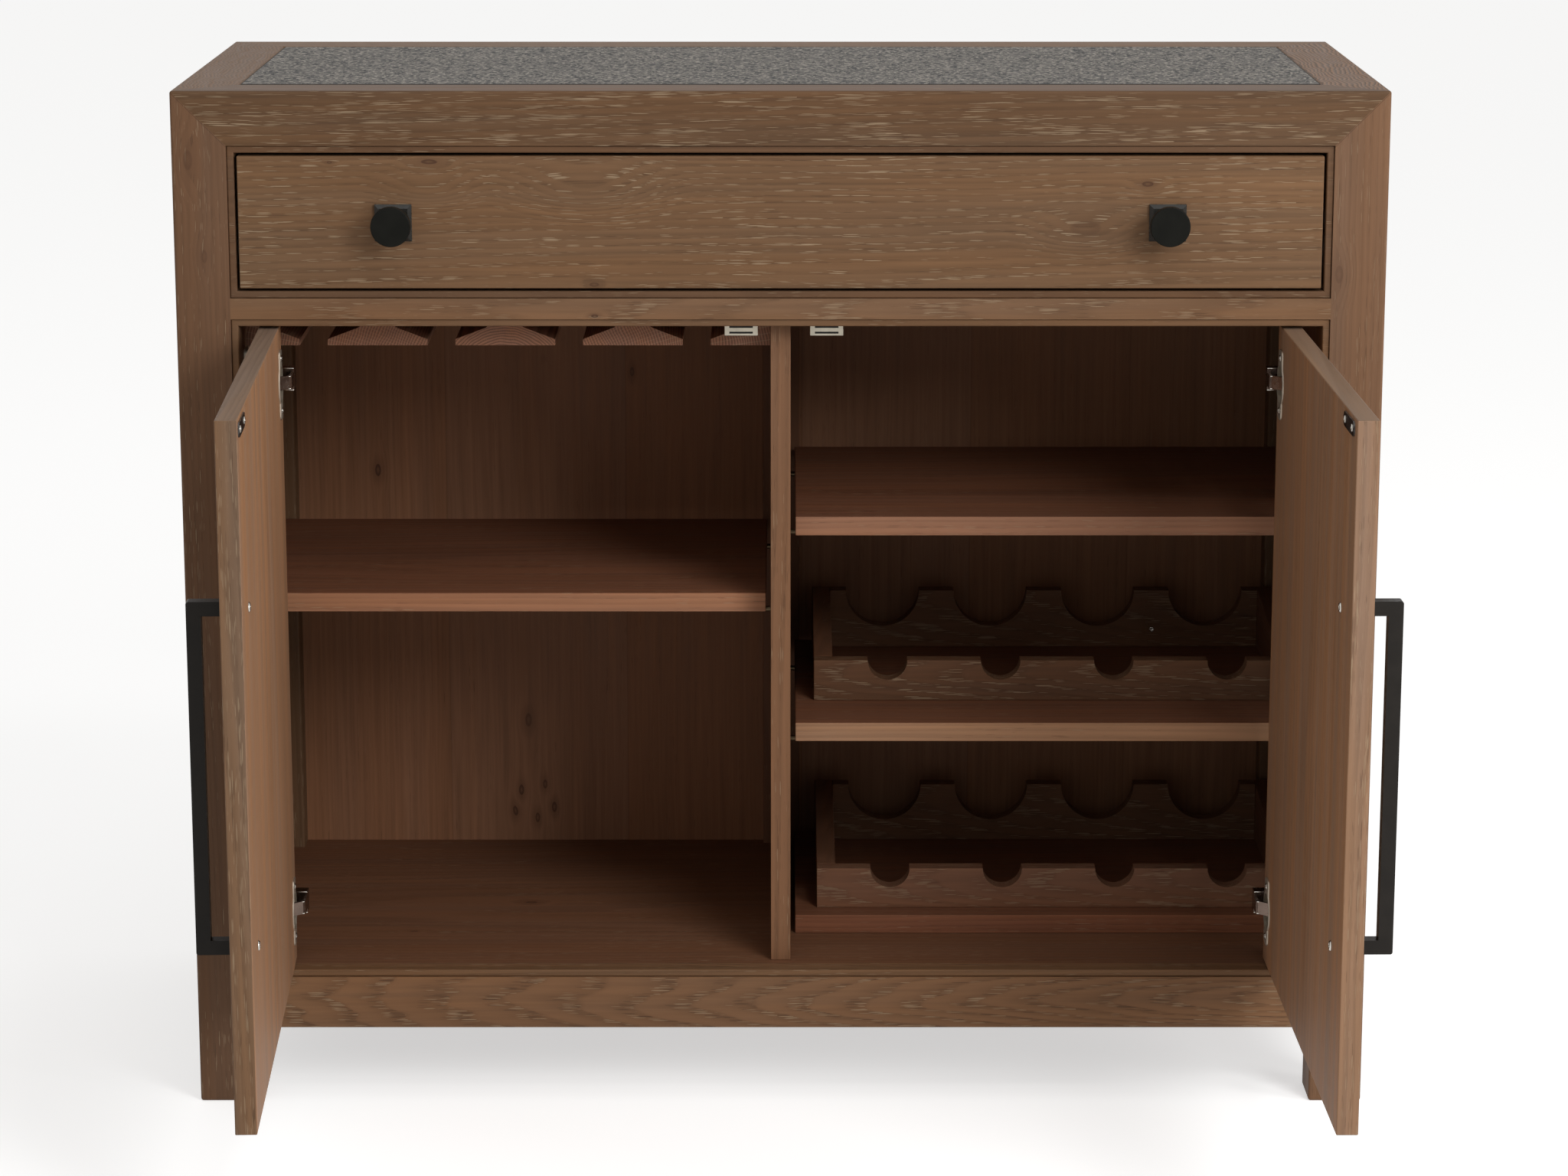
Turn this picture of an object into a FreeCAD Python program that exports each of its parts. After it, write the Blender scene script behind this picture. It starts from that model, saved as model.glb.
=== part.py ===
import FreeCAD, Part
import Sketcher
import os
import re

# Bar cabinet with one drawer, two doors, bottle racks and a stemware rack.
# Millimetres. X runs to the right, Y to the back, Z up. The origin lies at floor
# level, in the middle of the front face of the frame.

doc = FreeCAD.newDocument("bar_cabinet")
sheet = doc.addObject("Spreadsheet::Sheet", "Sizes")

sizes = {
    # outside of the cabinet and its frame
    "cabinet_width": 1067,
    "cabinet_depth": 457,
    "cabinet_height": 928.5,
    "frame_face": 48,
    "bead_width": 6.5,
    "bead_setback": 2,
    "bead_depth": 10,
    "bead_round": 1.4,
    "foot_height": 71.2,
    "frame_round": 2.5,
    "board_round": 0.8,
    "overrun": 5,
    "rail_depth": 22,
    "back_rail_depth": 20,
    # the rail between drawer and doors
    "middle_face": 18.5,
    "drawer_opening_height": 122,
    # panels of the case
    "side_panel_thick": 12,
    "side_panel_setback": 14.5,
    "panel_tongue": 7.5,
    "groove_slack": 0.3,
    "back_panel_thick": 6,
    "back_panel_setback": 21,
    "back_batten_width": 36,
    "back_batten_thick": 14,
    "deck_thick": 18,
    "ceiling_thick": 16,
    "divider_thick": 18,
    "divider_setback": 31,
    # stone slab in the top and the panel under it
    "slab_thick": 20,
    "slab_gap": 0.9,
    "slab_round": 0.6,
    "slab_panel_thick": 12,
    # drawer
    "drawer_gap": 2.6,
    "drawer_front_thick": 19,
    "drawer_board_thick": 12,
    "drawer_side_height": 88,
    "drawer_side_lift": 11,
    "drawer_length": 366,
    "drawer_bottom_thick": 6,
    "drawer_bottom_lift": 12,
    "drawer_back_drop": 8,
    # knobs of the drawer
    "knob_place": 340,
    "knob_radius": 17.5,
    "knob_thick": 8,
    "knob_reach": 31,
    "knob_round": 0.8,
    "knob_neck_radius": 7,
    "knob_plate_width": 32.5,
    "knob_plate_thick": 6,
    "knob_plate_bevel": 3.2,
    "knob_screw_radius": 2,
    # drawer slides, three nested members on each side
    "slide_thick": 12.7,
    "slide_length": 350,
    "slide_start": 22,
    "slide_height": 45,
    "slide_metal": 1.2,
    "slide_nest": 1.9,
    "slide_lip": 8.6,
    "slide_lift": 44,
    "block_height": 70,
    # doors
    "door_thick": 18,
    "door_gap": 3.5,
    "door_end_gap": 2.5,
    "door_meeting_gap": 3,
    "door_round": 1,
    "left_door_angle": 87.5,
    "right_door_angle": 90.9,
    # cup hinges
    "hinge_edge": 22.2,
    "hinge_end": 51,
    "hinge_cup_shift": 0.5,
    "hinge_cup_radius": 17.5,
    "hinge_cup_depth": 13.4,
    "hinge_cup_wall": 1,
    "hinge_rim_radius": 19,
    "hinge_flange_height": 62,
    "hinge_flange_width": 22,
    "hinge_flange_thick": 1.2,
    "hinge_flange_round": 6,
    "hinge_screw_spread": 23.5,
    "hinge_pin_radius": 1.2,
    "hinge_pin_slack": 0.05,
    "hinge_pin_end": 0.7,
    "hinge_eye_radius": 2.8,
    "hinge_arm_thick": 2.8,
    "hinge_arm_height": 12,
    "hinge_arm_angle": 40,
    "hinge_arm_reach": 21,
    "hinge_riser_start": 11.6,
    "hinge_riser_out": 18,
    "hinge_elbow_start": 29,
    "hinge_elbow_depth": 14,
    "hinge_elbow_width": 12,
    "hinge_elbow_height": 19.5,
    "hinge_beam_height": 15,
    "hinge_plate_thick": 3,
    "hinge_plate_depth": 20,
    "hinge_plate_height": 58,
    "hinge_plate_round": 9,
    # wood screws of the doors and their strike plates
    "screw_head_radius": 3.4,
    "screw_head_thick": 1.6,
    "screw_radius": 1.6,
    "screw_length": 13,
    "screw_slack": 0.1,
    # handles
    "handle_bar": 12,
    "handle_height": 296,
    "handle_reach": 32,
    "handle_edge": 60,
    "handle_middle": 412.5,
    "handle_round": 2,
    "handle_screw_radius": 2.5,
    "handle_screw_head_radius": 4,
    "handle_screw_head_thick": 3,
    "handle_screw_sunk": 0.6,
    "handle_screw_grip": 11,
    # magnetic catches and the plates that they hold
    "catch_width": 30,
    "catch_height": 11.3,
    "catch_depth": 14,
    "catch_left_place": 35,
    "catch_right_place": 41,
    "catch_slot_width": 21,
    "catch_slot_height": 1.8,
    "catch_slot_depth": 1,
    "catch_slot_low": 2.8,
    "catch_slot_high": 8,
    "strike_length": 56,
    "strike_height": 12,
    "strike_thick": 1.2,
    "strike_drop": 9.5,
    "strike_round": 5.5,
    "strike_screw_spread": 19,
    "strike_gap": 0.6,
    # shelves and their pins
    "shelf_thick": 17.5,
    "shelf_side_gap": 2.5,
    "shelf_divider_gap": 4.5,
    "shelf_back_gap": 2.5,
    "left_shelf_top": 464,
    "left_shelf_front": 68,
    "upper_shelf_top": 536.5,
    "upper_shelf_front": 61,
    "middle_shelf_top": 341.2,
    "middle_shelf_front": 70,
    "low_board_front": 114,
    "pin_radius": 2.5,
    "pin_depth": 7,
    "pin_reach": 11,
    "pin_inset": 37,
    "pin_slack": 0.1,
    "pin_pitch": 32,
    # bottle racks
    "rack_side_gap": 21,
    "rack_back_gap": 12.5,
    "upper_rack_shift": 1,
    "low_rack_shift": 4,
    "rack_board_thick": 17.5,
    "rack_front_height": 38.5,
    "rack_rear_height": 57,
    "upper_rack_front": 154,
    "low_rack_front": 138.5,
    "bottles": 4,
    "bottle_end_land": 15.5,
    "neck_radius": 18.5,
    "bottle_radius": 36,
    # stemware runners
    "runners": 3,
    "runner_gap": 25.2,
    "runner_end_gap": 0.25,
    "half_runner_share": 0.598434,
    "runner_height": 26.5,
    "runner_edge": 5.6,
    "runner_slope_in": 27.5,
    "runner_slope_up": 16,
    "runner_neck_in": 32,
    "runner_neck_up": 19.5,
    "runner_front": 60,
}

# Places that several pieces share, written in the sizes above.
outer_x = "(cabinet_width / 2)"
post_width = "(frame_face + bead_width)"
inner_x = "(cabinet_width / 2 - frame_face - bead_width)"
rabbet_x = "(cabinet_width / 2 - frame_face)"
rear_post_front = "(cabinet_depth - frame_face - bead_width)"
case_top = "(cabinet_height - frame_face - bead_width)"
rabbet_depth = "(bead_setback + bead_depth)"
deck_top = "(foot_height + frame_face + bead_width)"
drawer_floor = "(cabinet_height - frame_face - bead_width - drawer_opening_height)"
middle_face_top = f"({drawer_floor} - bead_width)"
middle_face_bottom = f"({middle_face_top} - middle_face)"
door_ceiling = f"({middle_face_bottom} - bead_width)"
panel_out = "(cabinet_width / 2 - side_panel_setback)"
panel_in = "(cabinet_width / 2 - side_panel_setback - side_panel_thick)"
back_panel_front = "(cabinet_depth - back_panel_setback - back_panel_thick)"
batten_front = f"({back_panel_front} - back_batten_thick)"
door_top = f"({door_ceiling} - door_end_gap)"
door_bottom = f"({deck_top} + door_end_gap)"
door_height = f"({door_top} - {door_bottom})"
hinge_x = f"({inner_x} - door_gap - hinge_edge)"
hinge_y = "(door_thick / 2)"
door_width = f"({inner_x} - door_gap - door_meeting_gap / 2)"
hinge_heights = [f"({door_top} - hinge_end)", f"({door_bottom} + hinge_end)"]
bay_back = f"({rear_post_front} - shelf_back_gap)"
drawer_box_x = f"({inner_x} - slide_thick)"
drawer_side_bottom = f"({drawer_floor} + drawer_side_lift)"
drawer_end = "(drawer_front_thick + drawer_length)"
slide_middle = f"({drawer_floor} + slide_lift)"
knob_height = f"({drawer_floor} + drawer_opening_height / 2)"
rack_length = f"({panel_in} - divider_thick / 2 - 2 * rack_side_gap)"
rack_rear_place = f"({bay_back} - rack_back_gap - rack_board_thick)"
bottle_pitch = (f"(({rack_length} - 2 * (rack_board_thick + bottle_radius + bottle_end_land))"
                " / (bottles - 1))")
runner_room = f"({rabbet_x} - divider_thick / 2 - 2 * runner_end_gap - (runners + 1) * runner_gap)"
runner_width = f"({runner_room} / (runners + 2 * half_runner_share))"
half_runner_width = f"(half_runner_share * {runner_width})"

nodes = []


def fill_sheet():
    for row, (name, size) in enumerate(sizes.items(), 1):
        sheet.set(f"A{row}", name)
        sheet.set(f"B{row}", str(size))
        sheet.setAlias(f"B{row}", name)
    doc.recompute()


def cells(formula):
    # the same formula with the sheet's name before every size
    def cell(word):
        return "Sizes." + word[0] if word[0] in sizes else word[0]
    return re.sub(r"[a-z_]+", cell, str(formula))


def number(formula):
    return float(sheet.evalExpression(cells(formula)))


def bind(item, name, formula):
    item.setExpression(name, cells(formula))


def new_body(name):
    body = doc.addObject("PartDesign::Body", name)
    body.Label = name
    return body


def keep(piece):
    # makes the piece a node of its own
    nodes.append(piece)
    return piece


def group(name, members):
    compound = doc.addObject("Part::Compound", name)
    compound.Label = name
    compound.Links = members
    return keep(compound)


def mirrored(side, start, length):
    # the low end of a stretch along X, on the right side or mirrored to the left
    return start if side > 0 else f"-({start} + {length})"


def block(body, start, size, side=1, cut=False):
    kind = "PartDesign::SubtractiveBox" if cut else "PartDesign::AdditiveBox"
    box = body.newObject(kind, "cut" if cut else "block")
    for name, formula in zip(("Length", "Width", "Height"), size):
        bind(box, name, formula)
    bind(box, "Placement.Base.x", mirrored(side, start[0], size[0]))
    bind(box, "Placement.Base.y", start[1])
    bind(box, "Placement.Base.z", start[2])
    return box


def rod(body, start, radius, length, axis, side=1, cut=False):
    kind = "PartDesign::SubtractiveCylinder" if cut else "PartDesign::AdditiveCylinder"
    cylinder = body.newObject(kind, "bore" if cut else "rod")
    turns = {
        "x": FreeCAD.Rotation(FreeCAD.Vector(0, 1, 0), 90),
        "y": FreeCAD.Rotation(FreeCAD.Vector(1, 0, 0), -90),
        "z": FreeCAD.Rotation(),
    }
    cylinder.Placement = FreeCAD.Placement(FreeCAD.Vector(), turns[axis])
    bind(cylinder, "Radius", radius)
    bind(cylinder, "Height", length)
    across = length if axis == "x" else "0"
    bind(cylinder, "Placement.Base.x", mirrored(side, start[0], across))
    bind(cylinder, "Placement.Base.y", start[1])
    bind(cylinder, "Placement.Base.z", start[2])
    return cylinder


def outline(body, plane, corners, start, side=1):
    # closed polygon, every corner bound to the sheet; start is its place along the normal
    sketch = body.newObject("Sketcher::SketchObject", "outline")
    support = [item for item in body.Origin.OriginFeatures if item.Role == plane + "_Plane"]
    sketch.AttachmentSupport = [(support[0], "")]
    sketch.MapMode = "FlatFace"
    mirror = "-" if side < 0 and plane != "YZ" else ""
    corners = [(f"{mirror}({across})", up) for across, up in corners]
    points = [FreeCAD.Vector(number(across), number(up), 0) for across, up in corners]
    for point, following in zip(points, points[1:] + points[:1]):
        sketch.addGeometry(Part.LineSegment(point, following))
    for line in range(len(points)):
        sketch.addConstraint(Sketcher.Constraint("Coincident", line, 2, (line + 1) % len(points), 1))
    for line, (point, corner) in enumerate(zip(points, corners)):
        across = sketch.addConstraint(Sketcher.Constraint("DistanceX", -1, 1, line, 1, point.x))
        bind(sketch, f"Constraints[{across}]", corner[0])
        up = sketch.addConstraint(Sketcher.Constraint("DistanceY", -1, 1, line, 1, point.y))
        bind(sketch, f"Constraints[{up}]", corner[1])
    away = f"-({start})" if plane == "XZ" else start
    bind(sketch, "AttachmentOffset.Base.z", away)
    return sketch


def prism(body, plane, corners, start, length, side=1, cut=False):
    # a polygon drawn out along Y from the XZ plane, along Z from XY or along X from YZ
    sketch = outline(body, plane, corners, start, side)
    feature = body.newObject("PartDesign::Pocket" if cut else "PartDesign::Pad", "prism")
    feature.Profile = sketch
    feature.Reversed = (plane == "XZ") != cut
    bind(feature, "Length", length)
    return feature


def ease(body, radius, chosen=None):
    # rounds all edges of what the body holds so far, or only the chosen ones
    base = body.Tip
    doc.recompute()
    picked = [f"Edge{index}" for index, edge in enumerate(base.Shape.Edges, 1)
              if chosen is None or chosen(edge)]
    fillet = body.newObject("PartDesign::Fillet", "rounding")
    fillet.Base = (base, picked)
    bind(fillet, "Radius", radius)
    return fillet


def bevel(body, width, chosen):
    base = body.Tip
    doc.recompute()
    picked = [f"Edge{index}" for index, edge in enumerate(base.Shape.Edges, 1) if chosen(edge)]
    chamfer = body.newObject("PartDesign::Chamfer", "bevel")
    chamfer.Base = (base, picked)
    bind(chamfer, "Size", width)
    return chamfer


def runs_along(axis):
    # picks the straight edges that run along X, Y or Z
    def picks(edge):
        ends = [vertex.Point for vertex in edge.Vertexes]
        if len(ends) < 2:
            return False
        run = ends[1] - ends[0]
        along = abs(getattr(run, axis))
        return along > 0.999 * run.Length and edge.Curve.TypeId == "Part::GeomLine"
    return picks


def lies_at(axis, formula):
    # picks the edges that lie wholly in one plane across an axis
    place = number(formula)
    near = number("board_round") / 100

    def picks(edge):
        return all(abs(getattr(vertex.Point, axis) - place) < near for vertex in edge.Vertexes)
    return picks


def board(name, start, size, side=1, rounding="board_round"):
    body = new_body(name)
    block(body, start, size, side)
    ease(body, rounding)
    return body


def mitre_below(body, side, front):
    # takes off what belongs to the two rails above the sloping cuts through an upper corner
    corners = [(outer_x, "cabinet_height"), (f"{outer_x} - 2 * {post_width}", "cabinet_height"),
               (f"{outer_x} - 2 * {post_width}", f"cabinet_height - 2 * {post_width}")]
    prism(body, "XZ", corners, "-overrun", "cabinet_depth + 2 * overrun", side, cut=True)
    level = "0" if front else "cabinet_depth"
    inward = f"2 * {post_width}" if front else f"cabinet_depth - 2 * {post_width}"
    corners = [(level, "cabinet_height"), (inward, "cabinet_height"),
               (inward, f"cabinet_height - 2 * {post_width}")]
    prism(body, "YZ", corners, "-cabinet_width", "2 * cabinet_width", cut=True)


def corner_post(name, side, front):
    # below the rails the post is as wide as the frame's face, without the width of the bead
    body = new_body(name)
    start_y = "0" if front else rear_post_front
    block(body, (inner_x, start_y, "0"), (post_width, post_width, "cabinet_height"), side)
    foot_cut = "(bead_width + overrun)"
    block(body, (f"{inner_x} - overrun", f"{start_y} - overrun", "-overrun"),
          (foot_cut, f"{post_width} + 2 * overrun", "foot_height + overrun"), side, cut=True)
    behind = "frame_face" if front else f"{rear_post_front} - overrun"
    block(body, (f"{inner_x} - overrun", behind, "-overrun"),
          (f"{post_width} + 2 * overrun", foot_cut, "foot_height + overrun"), side, cut=True)
    shoulder = lies_at("z", "foot_height")
    ease(body, "frame_round", lambda edge: not shoulder(edge))
    mitre_below(body, side, front)
    groove_height = f"{case_top} - {deck_top}"
    tongue = "(panel_tongue + groove_slack)"
    if front:
        rabbet_height = "cabinet_height - frame_face - foot_height"
        block(body, (f"{inner_x} - overrun", "-overrun", "foot_height"),
              ("bead_width + overrun", f"{rabbet_depth} + overrun", rabbet_height), side, cut=True)
        groove_y = f"{post_width} - {tongue}"
    else:
        groove_y = f"{rear_post_front} - overrun"
        block(body, (f"{inner_x} - overrun", f"{back_panel_front} - groove_slack", deck_top),
              (f"{tongue} + overrun", "back_panel_thick + 2 * groove_slack", groove_height),
              side, cut=True)
    block(body, (f"{panel_in} - groove_slack", groove_y, deck_top),
          ("side_panel_thick + 2 * groove_slack", f"{tongue} + overrun", groove_height),
          side, cut=True)
    return keep(body)


def slab_panel_groove(body):
    # groove around the inside of the top frame for the panel that carries the slab
    tongue = "(panel_tongue + groove_slack)"
    block(body, (f"-{inner_x} - {tongue}", f"{post_width} - {tongue}",
                 "cabinet_height - slab_thick - slab_panel_thick - groove_slack"),
          (f"2 * ({inner_x} + {tongue})", f"cabinet_depth - 2 * ({post_width} - {tongue})",
           "slab_panel_thick + groove_slack"), cut=True)


def long_top_rail(name, front):
    body = new_body(name)
    start_y = "0" if front else rear_post_front
    block(body, (f"-{outer_x}", start_y, case_top), ("cabinet_width", post_width, post_width))
    ease(body, "frame_round")
    for side in (1, -1):
        corners = [(outer_x, "cabinet_height"), (f"{outer_x} + overrun", "cabinet_height"),
                   (f"{outer_x} + overrun", f"{case_top} - overrun"),
                   (f"{inner_x} - overrun", f"{case_top} - overrun")]
        prism(body, "XZ", corners, "-overrun", "cabinet_depth + 2 * overrun", side, cut=True)
        if front:
            corners = [(outer_x, "0"), (f"{inner_x} - overrun", f"{post_width} + overrun"),
                       (f"{outer_x} + overrun", f"{post_width} + overrun"),
                       (f"{outer_x} + overrun", "0")]
        else:
            corners = [(outer_x, "cabinet_depth"), (f"{outer_x} + overrun", "cabinet_depth"),
                       (f"{outer_x} + overrun", f"{rear_post_front} - overrun"),
                       (f"{inner_x} - overrun", f"{rear_post_front} - overrun")]
        prism(body, "XY", corners, "0", "cabinet_height + overrun", side, cut=True)
    if front:
        block(body, (f"-{rabbet_x} - overrun", "-overrun", f"{case_top} - overrun"),
              (f"2 * ({rabbet_x} + overrun)", f"{rabbet_depth} + overrun", "bead_width + overrun"),
              cut=True)
    slab_panel_groove(body)
    return keep(body)


def side_top_rail(name, side):
    body = new_body(name)
    block(body, (inner_x, "0", case_top), (post_width, "cabinet_depth", post_width), side)
    ease(body, "frame_round")
    front_corners = [(outer_x, "0"), (f"{inner_x} - overrun", f"{post_width} + overrun"),
                     (f"{inner_x} - overrun", "0")]
    rear_corners = [(outer_x, "cabinet_depth"),
                    (f"{inner_x} - overrun", f"{rear_post_front} - overrun"),
                    (f"{inner_x} - overrun", "cabinet_depth")]
    for corners in (front_corners, rear_corners):
        prism(body, "XY", corners, "0", "cabinet_height + overrun", side, cut=True)
    front_corners = [("0", "cabinet_height"), ("-overrun", "cabinet_height"),
                     ("-overrun", f"{case_top} - overrun"),
                     (f"{post_width} + overrun", f"{case_top} - overrun")]
    rear_corners = [("cabinet_depth", "cabinet_height"),
                    ("cabinet_depth + overrun", "cabinet_height"),
                    ("cabinet_depth + overrun", f"{case_top} - overrun"),
                    (f"{rear_post_front} - overrun", f"{case_top} - overrun")]
    for corners in (front_corners, rear_corners):
        prism(body, "YZ", corners, "-cabinet_width", "2 * cabinet_width", cut=True)
    slab_panel_groove(body)
    return keep(body)


def stone_slab():
    body = board("stone_slab",
                 (f"-{inner_x} + slab_gap", f"{post_width} + slab_gap",
                  "cabinet_height - slab_thick"),
                 (f"2 * ({inner_x} - slab_gap)", f"cabinet_depth - 2 * ({post_width} + slab_gap)",
                  "slab_thick"), rounding="slab_round")
    return keep(body)


def slab_panel():
    body = new_body("slab_support_panel")
    block(body, (f"-{inner_x} - panel_tongue", f"{post_width} - panel_tongue",
                 "cabinet_height - slab_thick - slab_panel_thick"),
          (f"2 * ({inner_x} + panel_tongue)", f"cabinet_depth - 2 * ({post_width} - panel_tongue)",
           "slab_panel_thick"))
    return keep(body)


def tongued_rail(name, low_face, high_face, low_body, high_body):
    # a front rail: its face reaches over the posts' rabbets, its body fits between the posts
    body = new_body(name)
    block(body, (f"-{rabbet_x}", "0", low_face),
          (f"2 * {rabbet_x}", rabbet_depth, f"{high_face} - {low_face}"))
    block(body, (f"-{inner_x}", rabbet_depth, low_body),
          (f"2 * {inner_x}", f"rail_depth - {rabbet_depth}", f"{high_body} - {low_body}"))
    return keep(body)


def bead_strip(name, corners):
    body = new_body(name)
    prism(body, "XZ", corners, "bead_setback", "bead_depth")
    front = lies_at("y", "bead_setback")
    along_x = runs_along("x")
    along_z = runs_along("z")
    ease(body, "bead_round", lambda edge: front(edge) and (along_x(edge) or along_z(edge)))
    return body


def bead_frame(name, low, high):
    # four mitred strips around an opening
    inner = [(f"-{inner_x}", f"{low} + bead_width"), (inner_x, f"{low} + bead_width"),
             (inner_x, f"{high} - bead_width"), (f"-{inner_x}", f"{high} - bead_width")]
    outer = [(f"-{rabbet_x}", low), (rabbet_x, low), (rabbet_x, high), (f"-{rabbet_x}", high)]
    strips = []
    for place, side_name in enumerate(("bottom", "right", "top", "left")):
        following = (place + 1) % 4
        corners = [outer[place], outer[following], inner[following], inner[place]]
        strips.append(bead_strip(f"{name}_{side_name}", corners))
    return group(name, strips)


def side_panel(side):
    body = new_body("side_panel_right" if side > 0 else "side_panel_left")
    block(body, (panel_in, f"{post_width} - panel_tongue", deck_top),
          ("side_panel_thick", f"cabinet_depth - 2 * ({post_width} - panel_tongue)",
           f"{case_top} - {deck_top}"), side)
    shelf_pin_holes(body, side, True)
    return body


def side_rail(side):
    return board("side_rail_right" if side > 0 else "side_rail_left",
                 (f"{outer_x} - rail_depth", post_width, "foot_height"),
                 ("rail_depth", f"cabinet_depth - 2 * {post_width}", post_width), side)


def back_rail():
    return keep(board("back_lower_rail",
                      (f"-{inner_x}", "cabinet_depth - back_rail_depth", "foot_height"),
                      (f"2 * {inner_x}", "back_rail_depth", post_width)))


def back_panel():
    body = new_body("back_panel")
    block(body, (f"-{inner_x} - panel_tongue", back_panel_front, deck_top),
          (f"2 * ({inner_x} + panel_tongue)", "back_panel_thick", f"{case_top} - {deck_top}"))
    return keep(body)


def back_batten():
    return keep(board("back_batten", ("-back_batten_width / 2", batten_front, deck_top),
                      ("back_batten_width", "back_batten_thick", f"{door_ceiling} - {deck_top}")))


def notched_panel(name, bottom, thick, rear, reach):
    # a panel that reaches past the posts on both sides, notched around them
    body = new_body(name)
    block(body, (f"-{reach}", "rail_depth", bottom), (f"2 * {reach}", f"{rear} - rail_depth", thick))
    for side in (1, -1):
        for start, length in (("0", post_width), (rear_post_front, post_width)):
            block(body, (inner_x, start, f"{bottom} - overrun"),
                  (post_width, length, f"{thick} + 2 * overrun"), side, cut=True)
    return keep(body)


def divider():
    body = board("center_divider", ("-divider_thick / 2", "divider_setback", deck_top),
                 ("divider_thick", f"{batten_front} - divider_setback",
                  f"{door_ceiling} - {deck_top}"))
    for side in (1, -1):
        shelf_pin_holes(body, side, False)
    return keep(body)


shelf_levels = {-1: ["left_shelf_top"], 1: ["upper_shelf_top", "middle_shelf_top"]}


def pin_rows():
    return (f"{post_width} + pin_inset", f"{bay_back} - pin_inset")


def shelf_pin_holes(body, side, outside):
    # three holes for each pin, so that a shelf can move one step up or down
    for level in shelf_levels[side]:
        for step in (-1, 0, 1):
            height = f"{level} - shelf_thick - pin_radius + {step} * pin_pitch"
            for row in pin_rows():
                wall = f"{panel_in} - overrun" if outside else "divider_thick / 2 - pin_depth"
                rod(body, (wall, row, height), "pin_radius + pin_slack",
                    "pin_depth + overrun", "x", side, cut=True)


def shelf_pins():
    pins = []
    for side in (-1, 1):
        for level in shelf_levels[side]:
            height = f"{level} - shelf_thick - pin_radius"
            for row in pin_rows():
                for wall in ("divider_thick / 2 - pin_depth", f"{panel_in} - pin_reach"):
                    body = new_body(f"shelf_pin_{len(pins)}")
                    rod(body, (wall, row, height), "pin_radius", "pin_depth + pin_reach", "x", side)
                    pins.append(body)
    return group("shelf_pins", pins)


def shelf(name, side, top, front):
    length = f"{panel_in} - shelf_side_gap - divider_thick / 2 - shelf_divider_gap"
    return keep(board(name, ("divider_thick / 2 + shelf_divider_gap", front, f"{top} - shelf_thick"),
                      (length, f"{bay_back} - {front}", "shelf_thick"), side))


def rack_board(name, left, front, bottom, height, radius, full):
    # a board with round notches in its upper edge, for the necks or the bodies of bottles
    body = new_body(name)
    start = left if full else f"{left} + rack_board_thick"
    length = rack_length if full else f"{rack_length} - 2 * rack_board_thick"
    block(body, (start, front, bottom), (length, "rack_board_thick", height))
    ease(body, "board_round")
    first = f"{left} + {rack_length} / 2 - (bottles - 1) / 2 * {bottle_pitch}"
    for place in range(sizes["bottles"]):
        rod(body, (f"{first} + {place} * {bottle_pitch}", f"{front} - overrun",
                   f"{bottom} + {height}"),
            radius, "rack_board_thick + 2 * overrun", "y", cut=True)
    return keep(body)


def rack_side(name, left, front, bottom):
    body = new_body(name)
    back = f"{rack_rear_place} + rack_board_thick"
    start = f"{front} + rack_board_thick"
    corners = [(start, bottom), (back, bottom), (back, f"{bottom} + rack_rear_height"),
               (start, f"{bottom} + rack_front_height")]
    prism(body, "YZ", corners, left, "rack_board_thick")
    ease(body, "board_round")
    return body


def bottle_rack(name, left, front, bottom):
    rack_board(f"{name}_front", left, front, bottom, "rack_front_height", "neck_radius", True)
    rack_board(f"{name}_rear", left, rack_rear_place, bottom, "rack_rear_height",
               "bottle_radius", False)
    sides = [rack_side(f"{name}_side_left", left, front, bottom),
             rack_side(f"{name}_side_right", f"{left} + {rack_length} - rack_board_thick",
                       front, bottom)]
    group(f"{name}_sides", sides)


def runner(name, middle, lean):
    # lean 0 is a full runner, 1 or -1 a half one whose lip points right or left
    body = new_body(name)
    bottom = f"{door_ceiling} - runner_height"
    profile = [("0", "0"), ("0", "runner_edge"), ("runner_slope_in", "runner_slope_up"),
               ("runner_neck_in", "runner_neck_up"), ("runner_neck_in", "runner_height")]
    reach = f"{runner_width} / 2" if lean == 0 else f"{half_runner_width} / 2"
    right = [(f"{middle} + ({reach}) - ({into})", f"{bottom} + {up}") for into, up in profile]
    left = [(f"{middle} - ({reach}) + ({into})", f"{bottom} + {up}") for into, up in profile]
    if lean > 0:
        left = [left[0], (left[0][0], right[-1][1])]
    if lean < 0:
        right = [right[0], (right[0][0], left[-1][1])]
    prism(body, "XZ", right + left[::-1], "runner_front", f"{bay_back} - runner_front")
    return body


def stemware_runners():
    rack_middle = f"-({rabbet_x} + divider_thick / 2) / 2"
    pitch = f"({runner_width} + runner_gap)"
    pieces = [runner(f"stemware_runner_{place}",
                     f"{rack_middle} + ({place} - (runners - 1) / 2) * {pitch}", 0)
              for place in range(sizes["runners"])]
    half = f"(runners * {pitch} / 2 + runner_gap / 2 + {half_runner_width} / 2)"
    pieces.append(runner("stemware_half_runner_left", f"{rack_middle} - {half}", 1))
    pieces.append(runner("stemware_half_runner_right", f"{rack_middle} + {half}", -1))
    return group("stemware_runners", pieces)


def drawer_front():
    body = board("drawer_front",
                 (f"-{inner_x} + drawer_gap", "0", f"{drawer_floor} + drawer_gap"),
                 (f"2 * ({inner_x} - drawer_gap)", "drawer_front_thick",
                  "drawer_opening_height - 2 * drawer_gap"), rounding="door_round")
    drawer_bottom_groove(body)
    for side in (1, -1):
        rod(body, ("knob_place", "-overrun", knob_height), "knob_screw_radius + screw_slack",
            "drawer_front_thick + 2 * overrun", "y", side, cut=True)
    return keep(body)


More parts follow.
